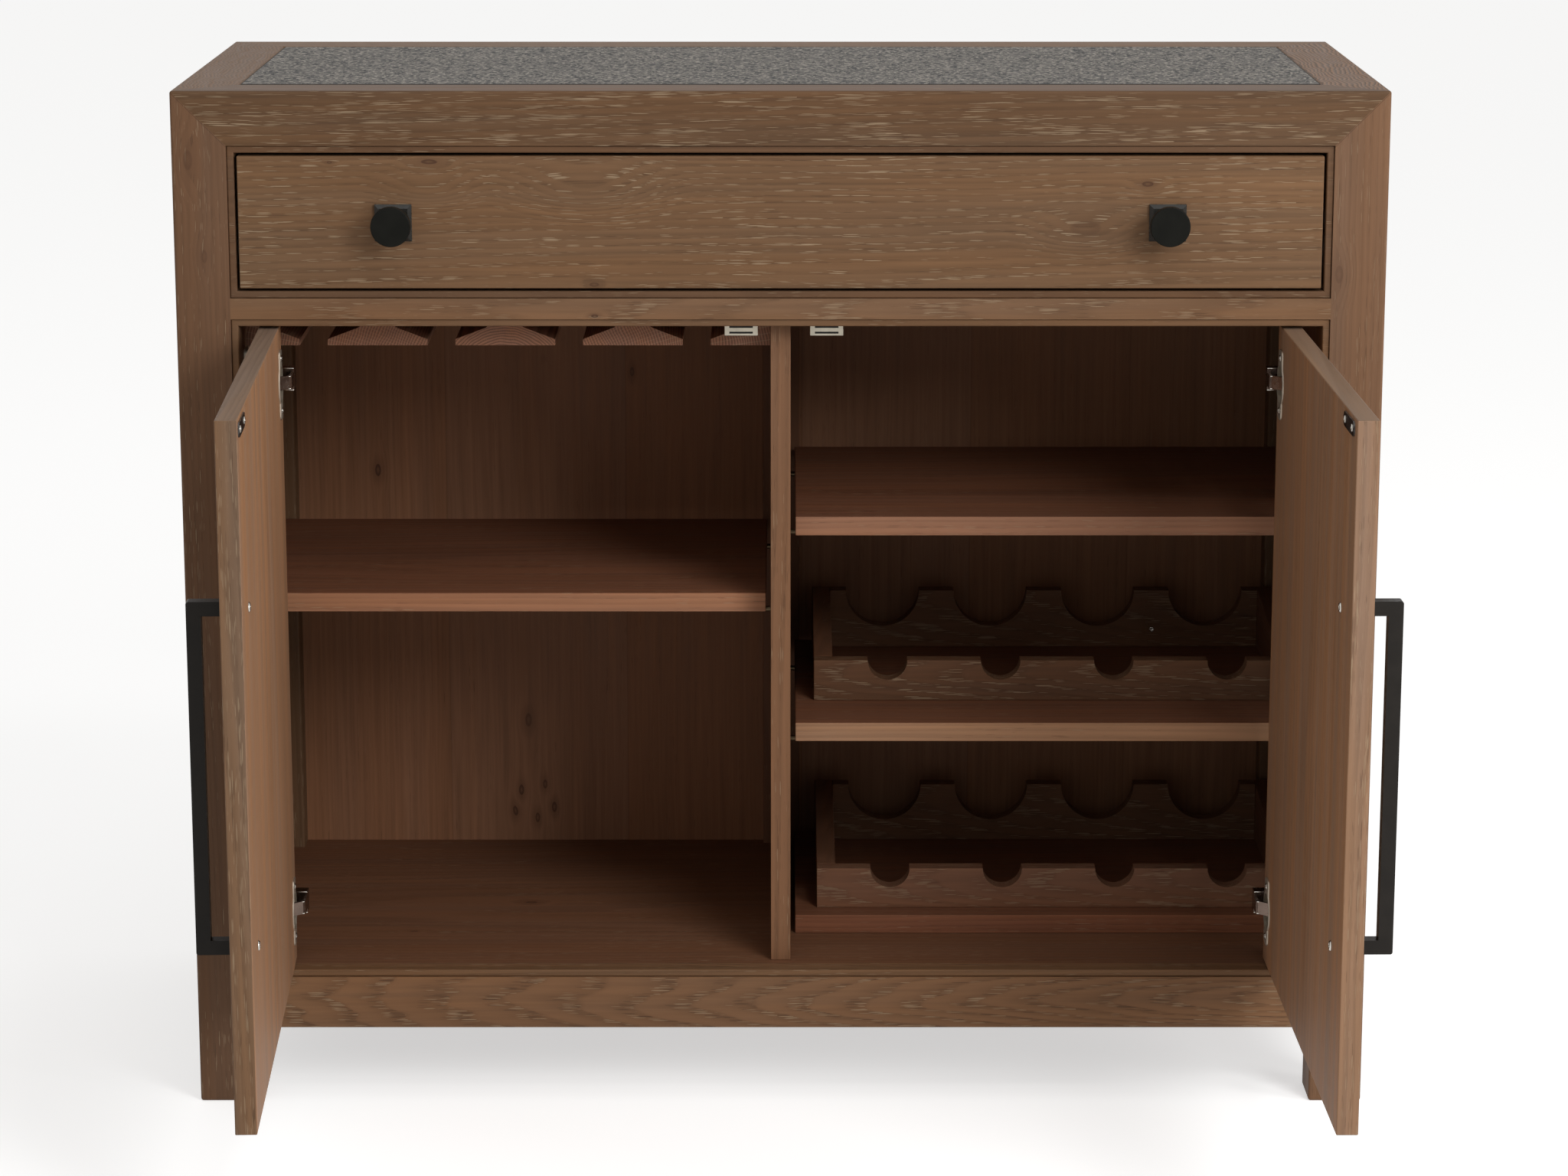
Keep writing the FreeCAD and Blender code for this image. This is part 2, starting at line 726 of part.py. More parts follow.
def drawer_bottom_groove(body):
    reach = f"({drawer_box_x} - drawer_board_thick / 2)"
    block(body, (f"-{reach}", "drawer_front_thick / 2",
                 f"{drawer_side_bottom} + drawer_bottom_lift - groove_slack / 2"),
          (f"2 * {reach}", f"{drawer_end} - drawer_front_thick / 2 - drawer_board_thick",
           "drawer_bottom_thick + groove_slack"), cut=True)


def drawer_side(side):
    body = board("drawer_side_right" if side > 0 else "drawer_side_left",
                 (f"{drawer_box_x} - drawer_board_thick", "drawer_front_thick", drawer_side_bottom),
                 ("drawer_board_thick", "drawer_length", "drawer_side_height"), side)
    drawer_bottom_groove(body)
    return body


def drawer_back():
    inside = f"({drawer_box_x} - drawer_board_thick)"
    base = f"({drawer_side_bottom} + drawer_bottom_lift + drawer_bottom_thick)"
    return keep(board("drawer_back", (f"-{inside}", f"{drawer_end} - drawer_board_thick", base),
                      (f"2 * {inside}", "drawer_board_thick",
                       f"{drawer_side_bottom} + drawer_side_height - drawer_back_drop - {base}")))


def drawer_bottom():
    reach = f"({drawer_box_x} - drawer_board_thick / 2 - groove_slack)"
    body = new_body("drawer_bottom")
    block(body, (f"-{reach}", "drawer_front_thick / 2 + groove_slack",
                 f"{drawer_side_bottom} + drawer_bottom_lift"),
          (f"2 * {reach}", f"{drawer_end} - drawer_front_thick / 2 - drawer_board_thick"
           " - 2 * groove_slack", "drawer_bottom_thick"))
    return keep(body)


def knob_plate(side):
    body = new_body("knob_plate_right" if side > 0 else "knob_plate_left")
    block(body, ("knob_place - knob_plate_width / 2", "-knob_plate_thick",
                 f"{knob_height} - knob_plate_width / 2"),
          ("knob_plate_width", "knob_plate_thick", "knob_plate_width"), side)
    bevel(body, "knob_plate_bevel", lies_at("y", "-knob_plate_thick"))
    rod(body, ("knob_place", "-knob_plate_thick - overrun", knob_height),
        "knob_screw_radius + screw_slack", "knob_plate_thick + 2 * overrun", "y", side, cut=True)
    return body


def knob(side):
    body = new_body("knob_right" if side > 0 else "knob_left")
    rod(body, ("knob_place", "-knob_reach", knob_height), "knob_radius", "knob_thick", "y", side)
    ease(body, "knob_round")
    rod(body, ("knob_place", "-knob_reach + knob_thick / 2", knob_height), "knob_neck_radius",
        "knob_reach - knob_plate_thick - knob_thick / 2", "y", side)
    rod(body, ("knob_place", "-knob_reach + knob_thick", knob_height),
        "knob_screw_radius + screw_slack", "knob_reach - knob_thick", "y", side, cut=True)
    return body


def knob_screw(side):
    body = new_body("knob_screw_right" if side > 0 else "knob_screw_left")
    rod(body, ("knob_place", "drawer_front_thick", knob_height), "handle_screw_head_radius",
        "handle_screw_head_thick", "y", side)
    rod(body, ("knob_place", "-knob_reach + knob_thick", knob_height), "knob_screw_radius",
        "knob_reach - knob_thick + drawer_front_thick + handle_screw_head_thick / 2", "y", side)
    return body


def slide_members():
    # the cabinet member opens towards the drawer, and the other two nest in it
    names = ("slide_cabinet_members", "slide_middle_members", "slide_drawer_members")
    webs = (inner_x, f"{inner_x} - slide_nest", f"{drawer_box_x} + slide_lip")
    for step, (name, web) in enumerate(zip(names, webs)):
        bottom = f"({slide_middle} - slide_height / 2 + {step} * slide_nest)"
        height = f"(slide_height - 2 * {step} * slide_nest)"
        low_x = f"({web} - slide_lip)"
        hollow = f"{low_x} - overrun" if step < 2 else f"{low_x} + slide_metal"
        pieces = []
        for side, side_name in ((-1, "left"), (1, "right")):
            body = new_body(f"{name}_{side_name}")
            block(body, (low_x, "slide_start", bottom), ("slide_lip", "slide_length", height), side)
            block(body, (hollow, "slide_start - overrun", f"{bottom} + slide_metal"),
                  ("slide_lip + overrun - slide_metal", "slide_length + 2 * overrun",
                   f"{height} - 2 * slide_metal"), side, cut=True)
            pieces.append(body)
        group(name, pieces)


def slide_blocks():
    pieces = []
    for side, side_name in ((-1, "left"), (1, "right")):
        pieces.append(board(f"slide_block_{side_name}",
                            (inner_x, post_width, f"{slide_middle} - block_height / 2"),
                            (f"{panel_in} - {inner_x}", f"{rear_post_front} - {post_width}",
                             "block_height"), side))
    return group("slide_blocks", pieces)


# Pieces of a door are drawn shut, with the hinge line at the zero of X and Y, for a
# door that reaches to the right. A side of -1 mirrors them for the right-hand door.

def stand_at_hinge(piece, side):
    bind(piece, "Placement.Base.x", f"-{hinge_x}" if side > 0 else hinge_x)
    bind(piece, "Placement.Base.y", hinge_y)
    return piece


def on_hinge(piece, side):
    # sets a finished door piece on its hinge line and swings it open about an upright axis
    angle = "-left_door_angle" if side > 0 else "right_door_angle"
    upright = FreeCAD.Rotation(FreeCAD.Vector(0, 0, 1), number(angle))
    piece.Placement = FreeCAD.Placement(FreeCAD.Vector(), upright)
    bind(piece, "Placement.Rotation.Angle", angle)
    return stand_at_hinge(piece, side)


catch_places = {1: "catch_left_place", -1: "catch_right_place"}
handle_x = f"({hinge_x} - door_meeting_gap / 2 - handle_edge)"
handle_ends = ["(handle_middle + (handle_height - handle_bar) / 2)",
               "(handle_middle - (handle_height - handle_bar) / 2)"]


def strike_x(side):
    return f"({hinge_x} - {catch_places[side]})"


def wood_screw_places(side):
    # across and height of every wood screw in a door
    places = [("-hinge_cup_shift", f"{height} + {sign} * hinge_screw_spread", "hinge_flange_thick")
              for height in hinge_heights for sign in (1, -1)]
    places += [(f"{strike_x(side)} + {sign} * strike_screw_spread", f"{door_top} - strike_drop",
                "strike_thick") for sign in (1, -1)]
    return places


def door(name, side):
    body = new_body(name)
    block(body, ("-hinge_edge", "-door_thick / 2", door_bottom),
          (door_width, "door_thick", door_height), side)
    ease(body, "door_round")
    for height in hinge_heights:
        rod(body, ("-hinge_cup_shift", "door_thick / 2 - hinge_cup_depth", height),
            "hinge_cup_radius + screw_slack", "hinge_cup_depth + overrun", "y", side, cut=True)
    for height in handle_ends:
        rod(body, (handle_x, "-door_thick / 2 - overrun", height),
            "handle_screw_radius + screw_slack", "door_thick + 2 * overrun", "y", side, cut=True)
        rod(body, (handle_x, "door_thick / 2 - handle_screw_head_thick - handle_screw_sunk", height),
            "handle_screw_head_radius + screw_slack", "handle_screw_head_thick + overrun",
            "y", side, cut=True)
    for across, height, plate in wood_screw_places(side):
        rod(body, (across, f"door_thick / 2 + {plate} - screw_length", height),
            "screw_radius + screw_slack", "screw_length + overrun", "y", side, cut=True)
    return keep(on_hinge(body, side))


def hinge_cup(name, side, height):
    body = new_body(name)
    rod(body, ("-hinge_cup_shift", "door_thick / 2 - hinge_cup_depth", height),
        "hinge_cup_radius", "hinge_cup_depth", "y", side)
    rod(body, ("-hinge_cup_shift", "door_thick / 2", height), "hinge_rim_radius",
        "hinge_flange_thick", "y", side)
    block(body, ("-hinge_cup_shift - hinge_flange_width / 2", "door_thick / 2",
                 f"{height} - hinge_flange_height / 2"),
          ("hinge_flange_width", "hinge_flange_thick", "hinge_flange_height"), side)
    top = number(f"{height} + hinge_flange_height / 2")
    low = number(f"{height} - hinge_flange_height / 2")
    near = number("board_round")
    along_y = runs_along("y")
    ease(body, "hinge_flange_round", lambda edge: along_y(edge) and min(
        abs(edge.CenterOfMass.z - top), abs(edge.CenterOfMass.z - low)) < near)
    rod(body, ("-hinge_cup_shift", "door_thick / 2 - hinge_cup_depth + hinge_cup_wall", height),
        "hinge_cup_radius - hinge_cup_wall", "hinge_cup_depth + overrun", "y", side, cut=True)
    rod(body, ("0", "0", f"{height} - hinge_cup_radius + hinge_pin_end / 2"), "hinge_pin_radius",
        "2 * hinge_cup_radius - hinge_pin_end", "z", side, cut=True)
    for sign in (1, -1):
        rod(body, ("-hinge_cup_shift", "door_thick / 2 - overrun",
                   f"{height} + {sign} * hinge_screw_spread"),
            "screw_radius + screw_slack", "2 * overrun", "y", side, cut=True)
    return on_hinge(body, side)


def hinge_pin(name, side, height):
    body = new_body(name)
    rod(body, ("0", "0", f"{height} - hinge_cup_radius + hinge_pin_end / 2"), "hinge_pin_radius",
        "2 * hinge_cup_radius - hinge_pin_end", "z", side)
    return on_hinge(body, side)


def hinge_arm(name, side, height):
    # the fixed arm: an eye on the pin, a strip out of the cup, a riser, an elbow and a beam
    body = new_body(name)
    half = "hinge_arm_height / 2"
    rod(body, ("0", "0", f"{height} - {half}"), "hinge_eye_radius", "hinge_arm_height", "z", side)
    corners = [(f"{reach} * cos(hinge_arm_angle) - ({offset}) * sin(hinge_arm_angle)",
                f"{reach} * sin(hinge_arm_angle) + ({offset}) * cos(hinge_arm_angle)")
               for reach, offset in (("0", "-hinge_arm_thick / 2"),
                                     ("hinge_arm_reach", "-hinge_arm_thick / 2"),
                                     ("hinge_arm_reach", "hinge_arm_thick / 2"),
                                     ("0", "hinge_arm_thick / 2"))]
    prism(body, "XY", corners, f"{height} - {half}", "hinge_arm_height", side)
    block(body, ("hinge_riser_out - hinge_arm_thick", "hinge_riser_start", f"{height} - {half}"),
          ("hinge_arm_thick", "hinge_elbow_start - hinge_riser_start + hinge_elbow_depth / 2",
           "hinge_arm_height"), side)
    block(body, ("hinge_riser_out - hinge_elbow_width", "hinge_elbow_start",
                 f"{height} - hinge_elbow_height / 2"),
          ("hinge_elbow_width", "hinge_elbow_depth", "hinge_elbow_height"), side)
    plate_face = "(-door_gap - hinge_edge + hinge_plate_thick)"
    block(body, (plate_face, "hinge_elbow_start", f"{height} - hinge_beam_height / 2"),
          (f"hinge_riser_out - hinge_elbow_width / 2 - {plate_face}", "hinge_elbow_depth",
           "hinge_beam_height"), side)
    rod(body, ("0", "0", f"{height} - {half} - overrun"), "hinge_pin_radius + hinge_pin_slack",
        "hinge_arm_height + 2 * overrun", "z", side, cut=True)
    return body


def hinge_plate(name, side, height):
    body = new_body(name)
    face = "(-door_gap - hinge_edge)"
    block(body, (face, "hinge_elbow_start + hinge_elbow_depth / 2 - hinge_plate_depth / 2",
                 f"{height} - hinge_plate_height / 2"),
          ("hinge_plate_thick", "hinge_plate_depth", "hinge_plate_height"), side)
    ease(body, "hinge_plate_round", runs_along("x"))
    return body


def hinges(hand, side):
    cups = []
    arms = []
    plates = []
    for place, height in zip(("top", "bottom"), hinge_heights):
        cups.append(hinge_cup(f"{hand}_hinge_cup_{place}", side, height))
        cups.append(hinge_pin(f"{hand}_hinge_pin_{place}", side, height))
        arms.append(stand_at_hinge(hinge_arm(f"{hand}_hinge_arm_{place}", side, height), side))
        plates.append(stand_at_hinge(hinge_plate(f"{hand}_hinge_plate_{place}", side, height), side))
    group(f"{hand}_hinge_cups", cups)
    return arms, plates


def handle(name, side):
    body = new_body(name)
    half = "handle_bar / 2"
    block(body, (f"{handle_x} - {half}", "-door_thick / 2 - handle_reach",
                 "handle_middle - handle_height / 2"), ("handle_bar", "handle_reach", "handle_height"),
          side)
    along_x = runs_along("x")
    outer = lies_at("y", "-door_thick / 2 - handle_reach")
    ease(body, "handle_round", lambda edge: along_x(edge) and outer(edge))
    block(body, (f"{handle_x} - {half} - overrun", "-door_thick / 2 - handle_reach + handle_bar",
                 "handle_middle - handle_height / 2 + handle_bar"),
          ("handle_bar + 2 * overrun", "handle_reach", "handle_height - 2 * handle_bar"),
          side, cut=True)
    for height in handle_ends:
        rod(body, (handle_x, "-door_thick / 2 - handle_screw_grip", height),
            "handle_screw_radius + screw_slack", "handle_screw_grip + overrun", "y", side, cut=True)
    return keep(on_hinge(body, side))


def handle_screws(name, side):
    pieces = []
    for place, height in zip(("top", "bottom"), handle_ends):
        body = new_body(f"{name}_{place}")
        head = "door_thick / 2 - handle_screw_head_thick - handle_screw_sunk"
        rod(body, (handle_x, head, height), "handle_screw_head_radius", "handle_screw_head_thick",
            "y", side)
        rod(body, (handle_x, "-door_thick / 2 - handle_screw_grip", height), "handle_screw_radius",
            f"door_thick / 2 + handle_screw_grip + {head} + handle_screw_head_thick / 2", "y", side)
        pieces.append(on_hinge(body, side))
    return group(name, pieces)


def wood_screws(name, side):
    pieces = []
    for across, height, plate in wood_screw_places(side):
        body = new_body(f"{name}_{len(pieces)}")
        rod(body, (across, f"door_thick / 2 + {plate}", height), "screw_head_radius",
            "screw_head_thick", "y", side)
        rod(body, (across, f"door_thick / 2 + {plate} - screw_length", height), "screw_radius",
            "screw_length + screw_head_thick / 2", "y", side)
        pieces.append(on_hinge(body, side))
    return group(name, pieces)


def strike_plate(name, side):
    body = new_body(name)
    height = f"({door_top} - strike_drop)"
    block(body, (f"{strike_x(side)} - strike_length / 2", "door_thick / 2",
                 f"{height} - strike_height / 2"), ("strike_length", "strike_thick", "strike_height"),
          side)
    ease(body, "strike_round", runs_along("y"))
    for sign in (1, -1):
        rod(body, (f"{strike_x(side)} + {sign} * strike_screw_spread", "door_thick / 2 - overrun",
                   height), "screw_radius + screw_slack", "2 * overrun", "y", side, cut=True)
    return keep(on_hinge(body, side))


def door_catches():
    pieces = []
    for side, side_name in ((1, "left"), (-1, "right")):
        body = new_body(f"door_catch_{side_name}")
        middle = f"({catch_places[side]})"
        front = "door_thick + strike_thick + strike_gap"
        bottom = f"({door_ceiling} - catch_height)"
        block(body, (f"{middle} - catch_width / 2", front, bottom),
              ("catch_width", "catch_depth", "catch_height"), -side)
        ease(body, "board_round")
        for level in ("catch_slot_low", "catch_slot_high"):
            block(body, (f"{middle} - catch_slot_width / 2", f"{front} - overrun",
                         f"{bottom} + {level} - catch_slot_height / 2"),
                  ("catch_slot_width", "catch_slot_depth + overrun", "catch_slot_height"),
                  -side, cut=True)
        pieces.append(body)
    return group("door_catches", pieces)


def build_case():
    for name, side, front in (("front_left_post", -1, True), ("front_right_post", 1, True),
                              ("rear_left_post", -1, False), ("rear_right_post", 1, False)):
        corner_post(name, side, front)
    long_top_rail("top_front_rail", True)
    long_top_rail("top_rear_rail", False)
    side_top_rail("top_left_rail", -1)
    side_top_rail("top_right_rail", 1)
    stone_slab()
    slab_panel()
    tongued_rail("middle_rail", middle_face_bottom, middle_face_top, door_ceiling, drawer_floor)
    tongued_rail("bottom_rail", "foot_height", "(foot_height + frame_face)", "foot_height", deck_top)
    bead_frame("drawer_opening_bead", middle_face_top, "(cabinet_height - frame_face)")
    bead_frame("door_opening_bead", "(foot_height + frame_face)", middle_face_bottom)
    group("side_panels", [side_panel(-1), side_panel(1)])
    group("lower_side_rails", [side_rail(-1), side_rail(1)])
    back_rail()
    back_panel()
    back_batten()
    notched_panel("bottom_deck", f"{deck_top} - deck_thick", "deck_thick",
                  "(cabinet_depth - back_rail_depth)", f"({outer_x} - rail_depth)")
    notched_panel("drawer_dust_panel", door_ceiling, "ceiling_thick", back_panel_front, panel_in)
    divider()


def build_interior():
    shelf("left_shelf", -1, "left_shelf_top", "left_shelf_front")
    shelf("right_upper_shelf", 1, "upper_shelf_top", "upper_shelf_front")
    shelf("right_middle_shelf", 1, "middle_shelf_top", "middle_shelf_front")
    shelf("right_low_board", 1, f"({deck_top} + shelf_thick)", "low_board_front")
    shelf_pins()
    rack_left = "(divider_thick / 2 + rack_side_gap)"
    bottle_rack("upper_rack", f"({rack_left} + upper_rack_shift)", "upper_rack_front",
                "middle_shelf_top")
    bottle_rack("lower_rack", f"({rack_left} + low_rack_shift)", "low_rack_front",
                f"({deck_top} + shelf_thick)")
    stemware_runners()


def build_drawer():
    drawer_front()
    group("drawer_sides", [drawer_side(-1), drawer_side(1)])
    drawer_back()
    drawer_bottom()
    group("knob_plates", [knob_plate(-1), knob_plate(1)])
    group("knobs", [knob(-1), knob(1)])
    group("knob_screws", [knob_screw(-1), knob_screw(1)])
    slide_members()
    slide_blocks()


def build_doors():
    arms = []
    plates = []
    for hand, side in (("left", 1), ("right", -1)):
        door(f"{hand}_door", side)
        handle(f"{hand}_handle", side)
        handle_screws(f"{hand}_handle_screws", side)
        hand_arms, hand_plates = hinges(hand, side)
        arms += hand_arms
        plates += hand_plates
        strike_plate(f"{hand}_strike_plate", side)
        wood_screws(f"{hand}_door_screws", side)
    group("hinge_arms", arms)
    group("hinge_plates", plates)
    door_catches()


def check_and_export():
    doc.recompute()
    for item in doc.Objects:
        if "Invalid" in item.State or "Error" in item.State:
            raise RuntimeError(f"{item.Label} did not recompute")
        if item.TypeId in ("PartDesign::Pocket", "PartDesign::SubtractiveBox",
                           "PartDesign::SubtractiveCylinder"):
            if item.Shape.Volume >= item.BaseFeature.Shape.Volume:
                raise RuntimeError(f"{item.Label} in {item.getParent().Label} cuts nothing")
    os.makedirs("parts", exist_ok=True)
    for node in nodes:
        if node.Shape.isNull() or not node.Shape.isValid():
            raise RuntimeError(f"{node.Label} has no sound shape")
    for node in nodes:
        node.Shape.exportStep(f"parts/{node.Label}.step")
    print(len(nodes), "nodes,", sum(len(node.Shape.Solids) for node in nodes), "solids")


fill_sheet()
build_case()
build_interior()
build_drawer()
build_doors()
check_and_export()
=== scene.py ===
import math

import bmesh
import bpy
from mathutils import Matrix, Vector


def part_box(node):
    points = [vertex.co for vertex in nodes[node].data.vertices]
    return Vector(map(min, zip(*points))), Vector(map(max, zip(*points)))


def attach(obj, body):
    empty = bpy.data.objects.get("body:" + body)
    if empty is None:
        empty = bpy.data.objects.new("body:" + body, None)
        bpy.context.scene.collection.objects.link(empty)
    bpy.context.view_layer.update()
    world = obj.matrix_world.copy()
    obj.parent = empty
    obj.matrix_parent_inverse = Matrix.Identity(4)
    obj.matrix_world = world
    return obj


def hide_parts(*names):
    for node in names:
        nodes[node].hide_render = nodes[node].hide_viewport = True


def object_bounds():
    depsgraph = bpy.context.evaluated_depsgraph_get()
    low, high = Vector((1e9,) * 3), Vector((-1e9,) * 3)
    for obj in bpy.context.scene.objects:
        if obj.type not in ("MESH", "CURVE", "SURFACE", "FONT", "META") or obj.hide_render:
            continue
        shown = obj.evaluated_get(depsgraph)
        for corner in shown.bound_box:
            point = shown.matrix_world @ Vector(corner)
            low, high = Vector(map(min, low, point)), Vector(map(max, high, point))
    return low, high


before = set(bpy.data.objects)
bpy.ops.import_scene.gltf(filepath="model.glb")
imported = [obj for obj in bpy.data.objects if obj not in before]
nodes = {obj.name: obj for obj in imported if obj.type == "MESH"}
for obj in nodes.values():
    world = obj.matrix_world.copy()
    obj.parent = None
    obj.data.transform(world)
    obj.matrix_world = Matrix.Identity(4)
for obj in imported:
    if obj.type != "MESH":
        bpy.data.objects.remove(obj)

cadBounds = [list(corner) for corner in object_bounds()]
print("frame loaded:", len(nodes), "nodes")


# node helpers

def startMaterial(name):
    made = bpy.data.materials.new(name)
    made.use_nodes = True
    made.node_tree.nodes.clear()
    return made, made.node_tree


def put(tree, kind, feeds=None, **choices):
    # a node with its choices, its inputs fed by a number, a colour or another node's output
    node = tree.nodes.new(kind)
    for choice, value in choices.items():
        setattr(node, choice, value)
    for socket, value in (feeds or {}).items():
        if isinstance(value, bpy.types.NodeSocket):
            tree.links.new(value, node.inputs[socket])
        else:
            node.inputs[socket].default_value = value
    return node


def calc(tree, operation, first, second=0.0):
    return put(tree, "ShaderNodeMath", {0: first, 1: second}, operation=operation).outputs[0]


def vectorCalc(tree, operation, first, second=(0, 0, 0)):
    return put(tree, "ShaderNodeVectorMath", {0: first, 1: second}, operation=operation).outputs[0]


def lengthOf(tree, vector):
    return put(tree, "ShaderNodeVectorMath", {0: vector}, operation="LENGTH").outputs["Value"]


def fade(tree, value, start, end, low=0.0, high=1.0, curve="SMOOTHSTEP"):
    # maps value from start..end onto low..high
    return put(tree, "ShaderNodeMapRange", {0: value, 1: start, 2: end, 3: low, 4: high},
               interpolation_type=curve).outputs[0]


def blendValue(tree, share, first, second):
    return put(tree, "ShaderNodeMix", {0: share, 2: first, 3: second}, data_type="FLOAT").outputs[0]


def blendVector(tree, share, first, second):
    return put(tree, "ShaderNodeMix", {0: share, 4: first, 5: second}, data_type="VECTOR").outputs[1]


def blendColour(tree, share, first, second, mode="MIX"):
    return put(tree, "ShaderNodeMix", {0: share, 6: first, 7: second}, data_type="RGBA",
               blend_type=mode).outputs[2]


def most(tree, values):
    # the largest of several values
    total = None
    for value in values:
        total = value if total is None else calc(tree, "MAXIMUM", total, value)
    return total


def around(tree, noise, amount):
    # a noise of 0..1 made a level that swings about 1
    return calc(tree, "ADD", 1.0, calc(tree, "MULTIPLY", calc(tree, "SUBTRACT", noise, 0.5), amount))


def separate(tree, vector):
    return put(tree, "ShaderNodeSeparateXYZ", {0: vector}).outputs


def finishMaterial(tree, feeds):
    finish = put(tree, "ShaderNodeBsdfPrincipled", feeds)
    output = put(tree, "ShaderNodeOutputMaterial")
    tree.links.new(finish.outputs[0], output.inputs[0])


softRange = (0.3, 0.7)             # where nearly all of a noise lies
mildRange = (0.35, 0.65)           # and where most of it lies


def stretchedNoise(tree, vector, scales, detail=2.0, roughness=0.5):
    # noise whose cells are 1/scale metres long on each axis
    spread = put(tree, "ShaderNodeMapping", {"Vector": vector, "Scale": scales}).outputs[0]
    return put(tree, "ShaderNodeTexNoise", {"Vector": spread, "Scale": 1.0, "Detail": detail,
                                            "Roughness": roughness})


def paint(red, green, blue):
    # a colour as it is read off a screen, made linear
    def linear(part):
        part = part / 255
        return part / 12.92 if part <= 0.04045 else ((part + 0.055) / 1.055) ** 2.4
    return (linear(red), linear(green), linear(blue), 1.0)


def shade(colour, factor):
    return tuple(part * factor for part in colour[:3]) + (1.0,)


# oak, a solid texture: rings round a pith that runs along the grain, pores, fibres and knots

grainTurns = {
    "X": (0, 0, 0),
    "Y": (0, 0, -math.pi / 2),
    "Z": (0, math.pi / 2, 0),
}

oakDefaults = {
    "grain": "X",
    "capGrain": None,              # the grain of faces that look up or down, where it differs
    "tone": (110, 82, 58),
    "edgeTone": None,              # the tone of faces that look to the front, where it differs
    "capTone": None,               # and of faces that look up or down
    "outerTone": None,             # and of faces that look away from the cabinet's middle, along X
    "edgeReach": 0.0,              # how much larger the pores are on faces that look to the front
    "sideRings": 1.0,              # how much of the rings shows on faces that don't look up or down
    "paleTone": (172, 150, 122),   # lime that stayed in the pores
    "darkTone": (62, 42, 30),
    "knotTone": (62, 38, 28),
    "shift": (0.0, 0.0, 0.0),      # slides the pattern, so that no two boards are alike
    "pith": (0.0, 0.30, 0.70),     # a point on the middle of the tree that the board is cut from
    "tilt": (0.012, -0.018),       # how far the pith runs out of line, in radians
    "ringGap": 0.0046,             # metres between two rings, their depth, and how uneven they are
    "ringDepth": 0.10,
    "ringDrift": 1.6,
    "waviness": 0.004,             # how far the grain sways, in metres
    "waveScale": (2.5, 9.0, 9.0),  # this scale and the others: along the grain and twice across it
    "pale": 0.55,                  # how strong the pale and the dark pores are
    "dark": 0.45,
    "darkShare": 0.35,             # how many of the pores are dark
    "poreReach": 0.28,             # how much of its cell a pore fills, how that varies and how it ends
    "poreSpread": (0.75, 1.15),
    "poreEdge": 0.09,
    "faintest": 0.35,              # how strong the faintest pore is
    "poreScale": (48.0, 1200.0, 1200.0),
    "outerReach": 0.07,            # how much more a pore fills on faces that look away
    "capReach": 0.6,               # and its share of that on faces that look up or down
    "banded": 0.10,                # how far the pores keep to the rings
    "crowding": 0.12,              # and to crowds
    "crowdScale": (9.0, 60.0, 60.0),
    "fibre": 0.17,
    "fibreScale": (6.0, 240.0, 240.0),
    "patch": 0.10,
    "patchScale": (2.2, 22.0, 22.0),
    "hueSpread": 0.03,             # how far the red swings, and how much further the blue does
    "hueBlue": 1.5,
    "hueScale": (1.5, 38.0, 38.0),
    "rays": 0.0,                   # how strong the pale rays are, how many a radian, how wide
    "rayCount": 80.0,
    "rayWidth": 0.22,
    "roughness": (0.49, 0.63),
    "gloss": 0.16,
    "relief": 0.35,
    "knots": (),                   # x, y, z and the dark core's radius in metres, and how dark it is
    "boardAxis": 0,
    "joints": (),                  # where boards are glued together, along that axis
    "boardSlide": (1.7, 0.31, 0.0),   # how far the pattern moves on from one board to the next
    "boardSpread": 0.10,           # how unlike the boards are in lightness, and their share of the hue
    "boardHue": 0.4,
    "seamLevel": 0.8,              # how much light is left at a glued joint
    "mitred": 0.0,                 # how dark the lines at the frame's mitres are
}

knotLook = {"reach": 5.0, "stretch": 2.2, "push": 0.55, "swell": 2.0,   # reach and swell in core radii
            "rim": (0.22, 0.15), "middle": (0.13, 0.02), "middleLevel": 0.6,
            "halo": (0.62, 0.15), "haloShare": 0.35}   # each pair is in shares of the reach
ringLook = {"rise": (0.0, 0.16), "fall": (0.85, 0.22),   # of the early wood, in shares of a ring
            "lateShare": 1 / 3,    # how much of the rings' depth the late wood is lighter by
            "driftScale": (0, 60, 60)}
noiseSwing = 3                     # how far a look's share of noise is stretched
reliefLook = {"fibre": 0.6, "pore": 0.4, "early": 0.25, "depth": 0.0006}   # depth in metres
lineHalf = {"seam": (0.0007, 0.0001), "mitre": (0.0007, 0.0002)}   # metres, where it starts and is full
looksAlong = (0.6, 0.8)            # how far a face has to look along an axis to take the finish of it


def alongGrain(point, grain):
    x, y, z = point
    return {"X": (x, y, z), "Y": (y, -x, z), "Z": (z, y, -x)}[grain]


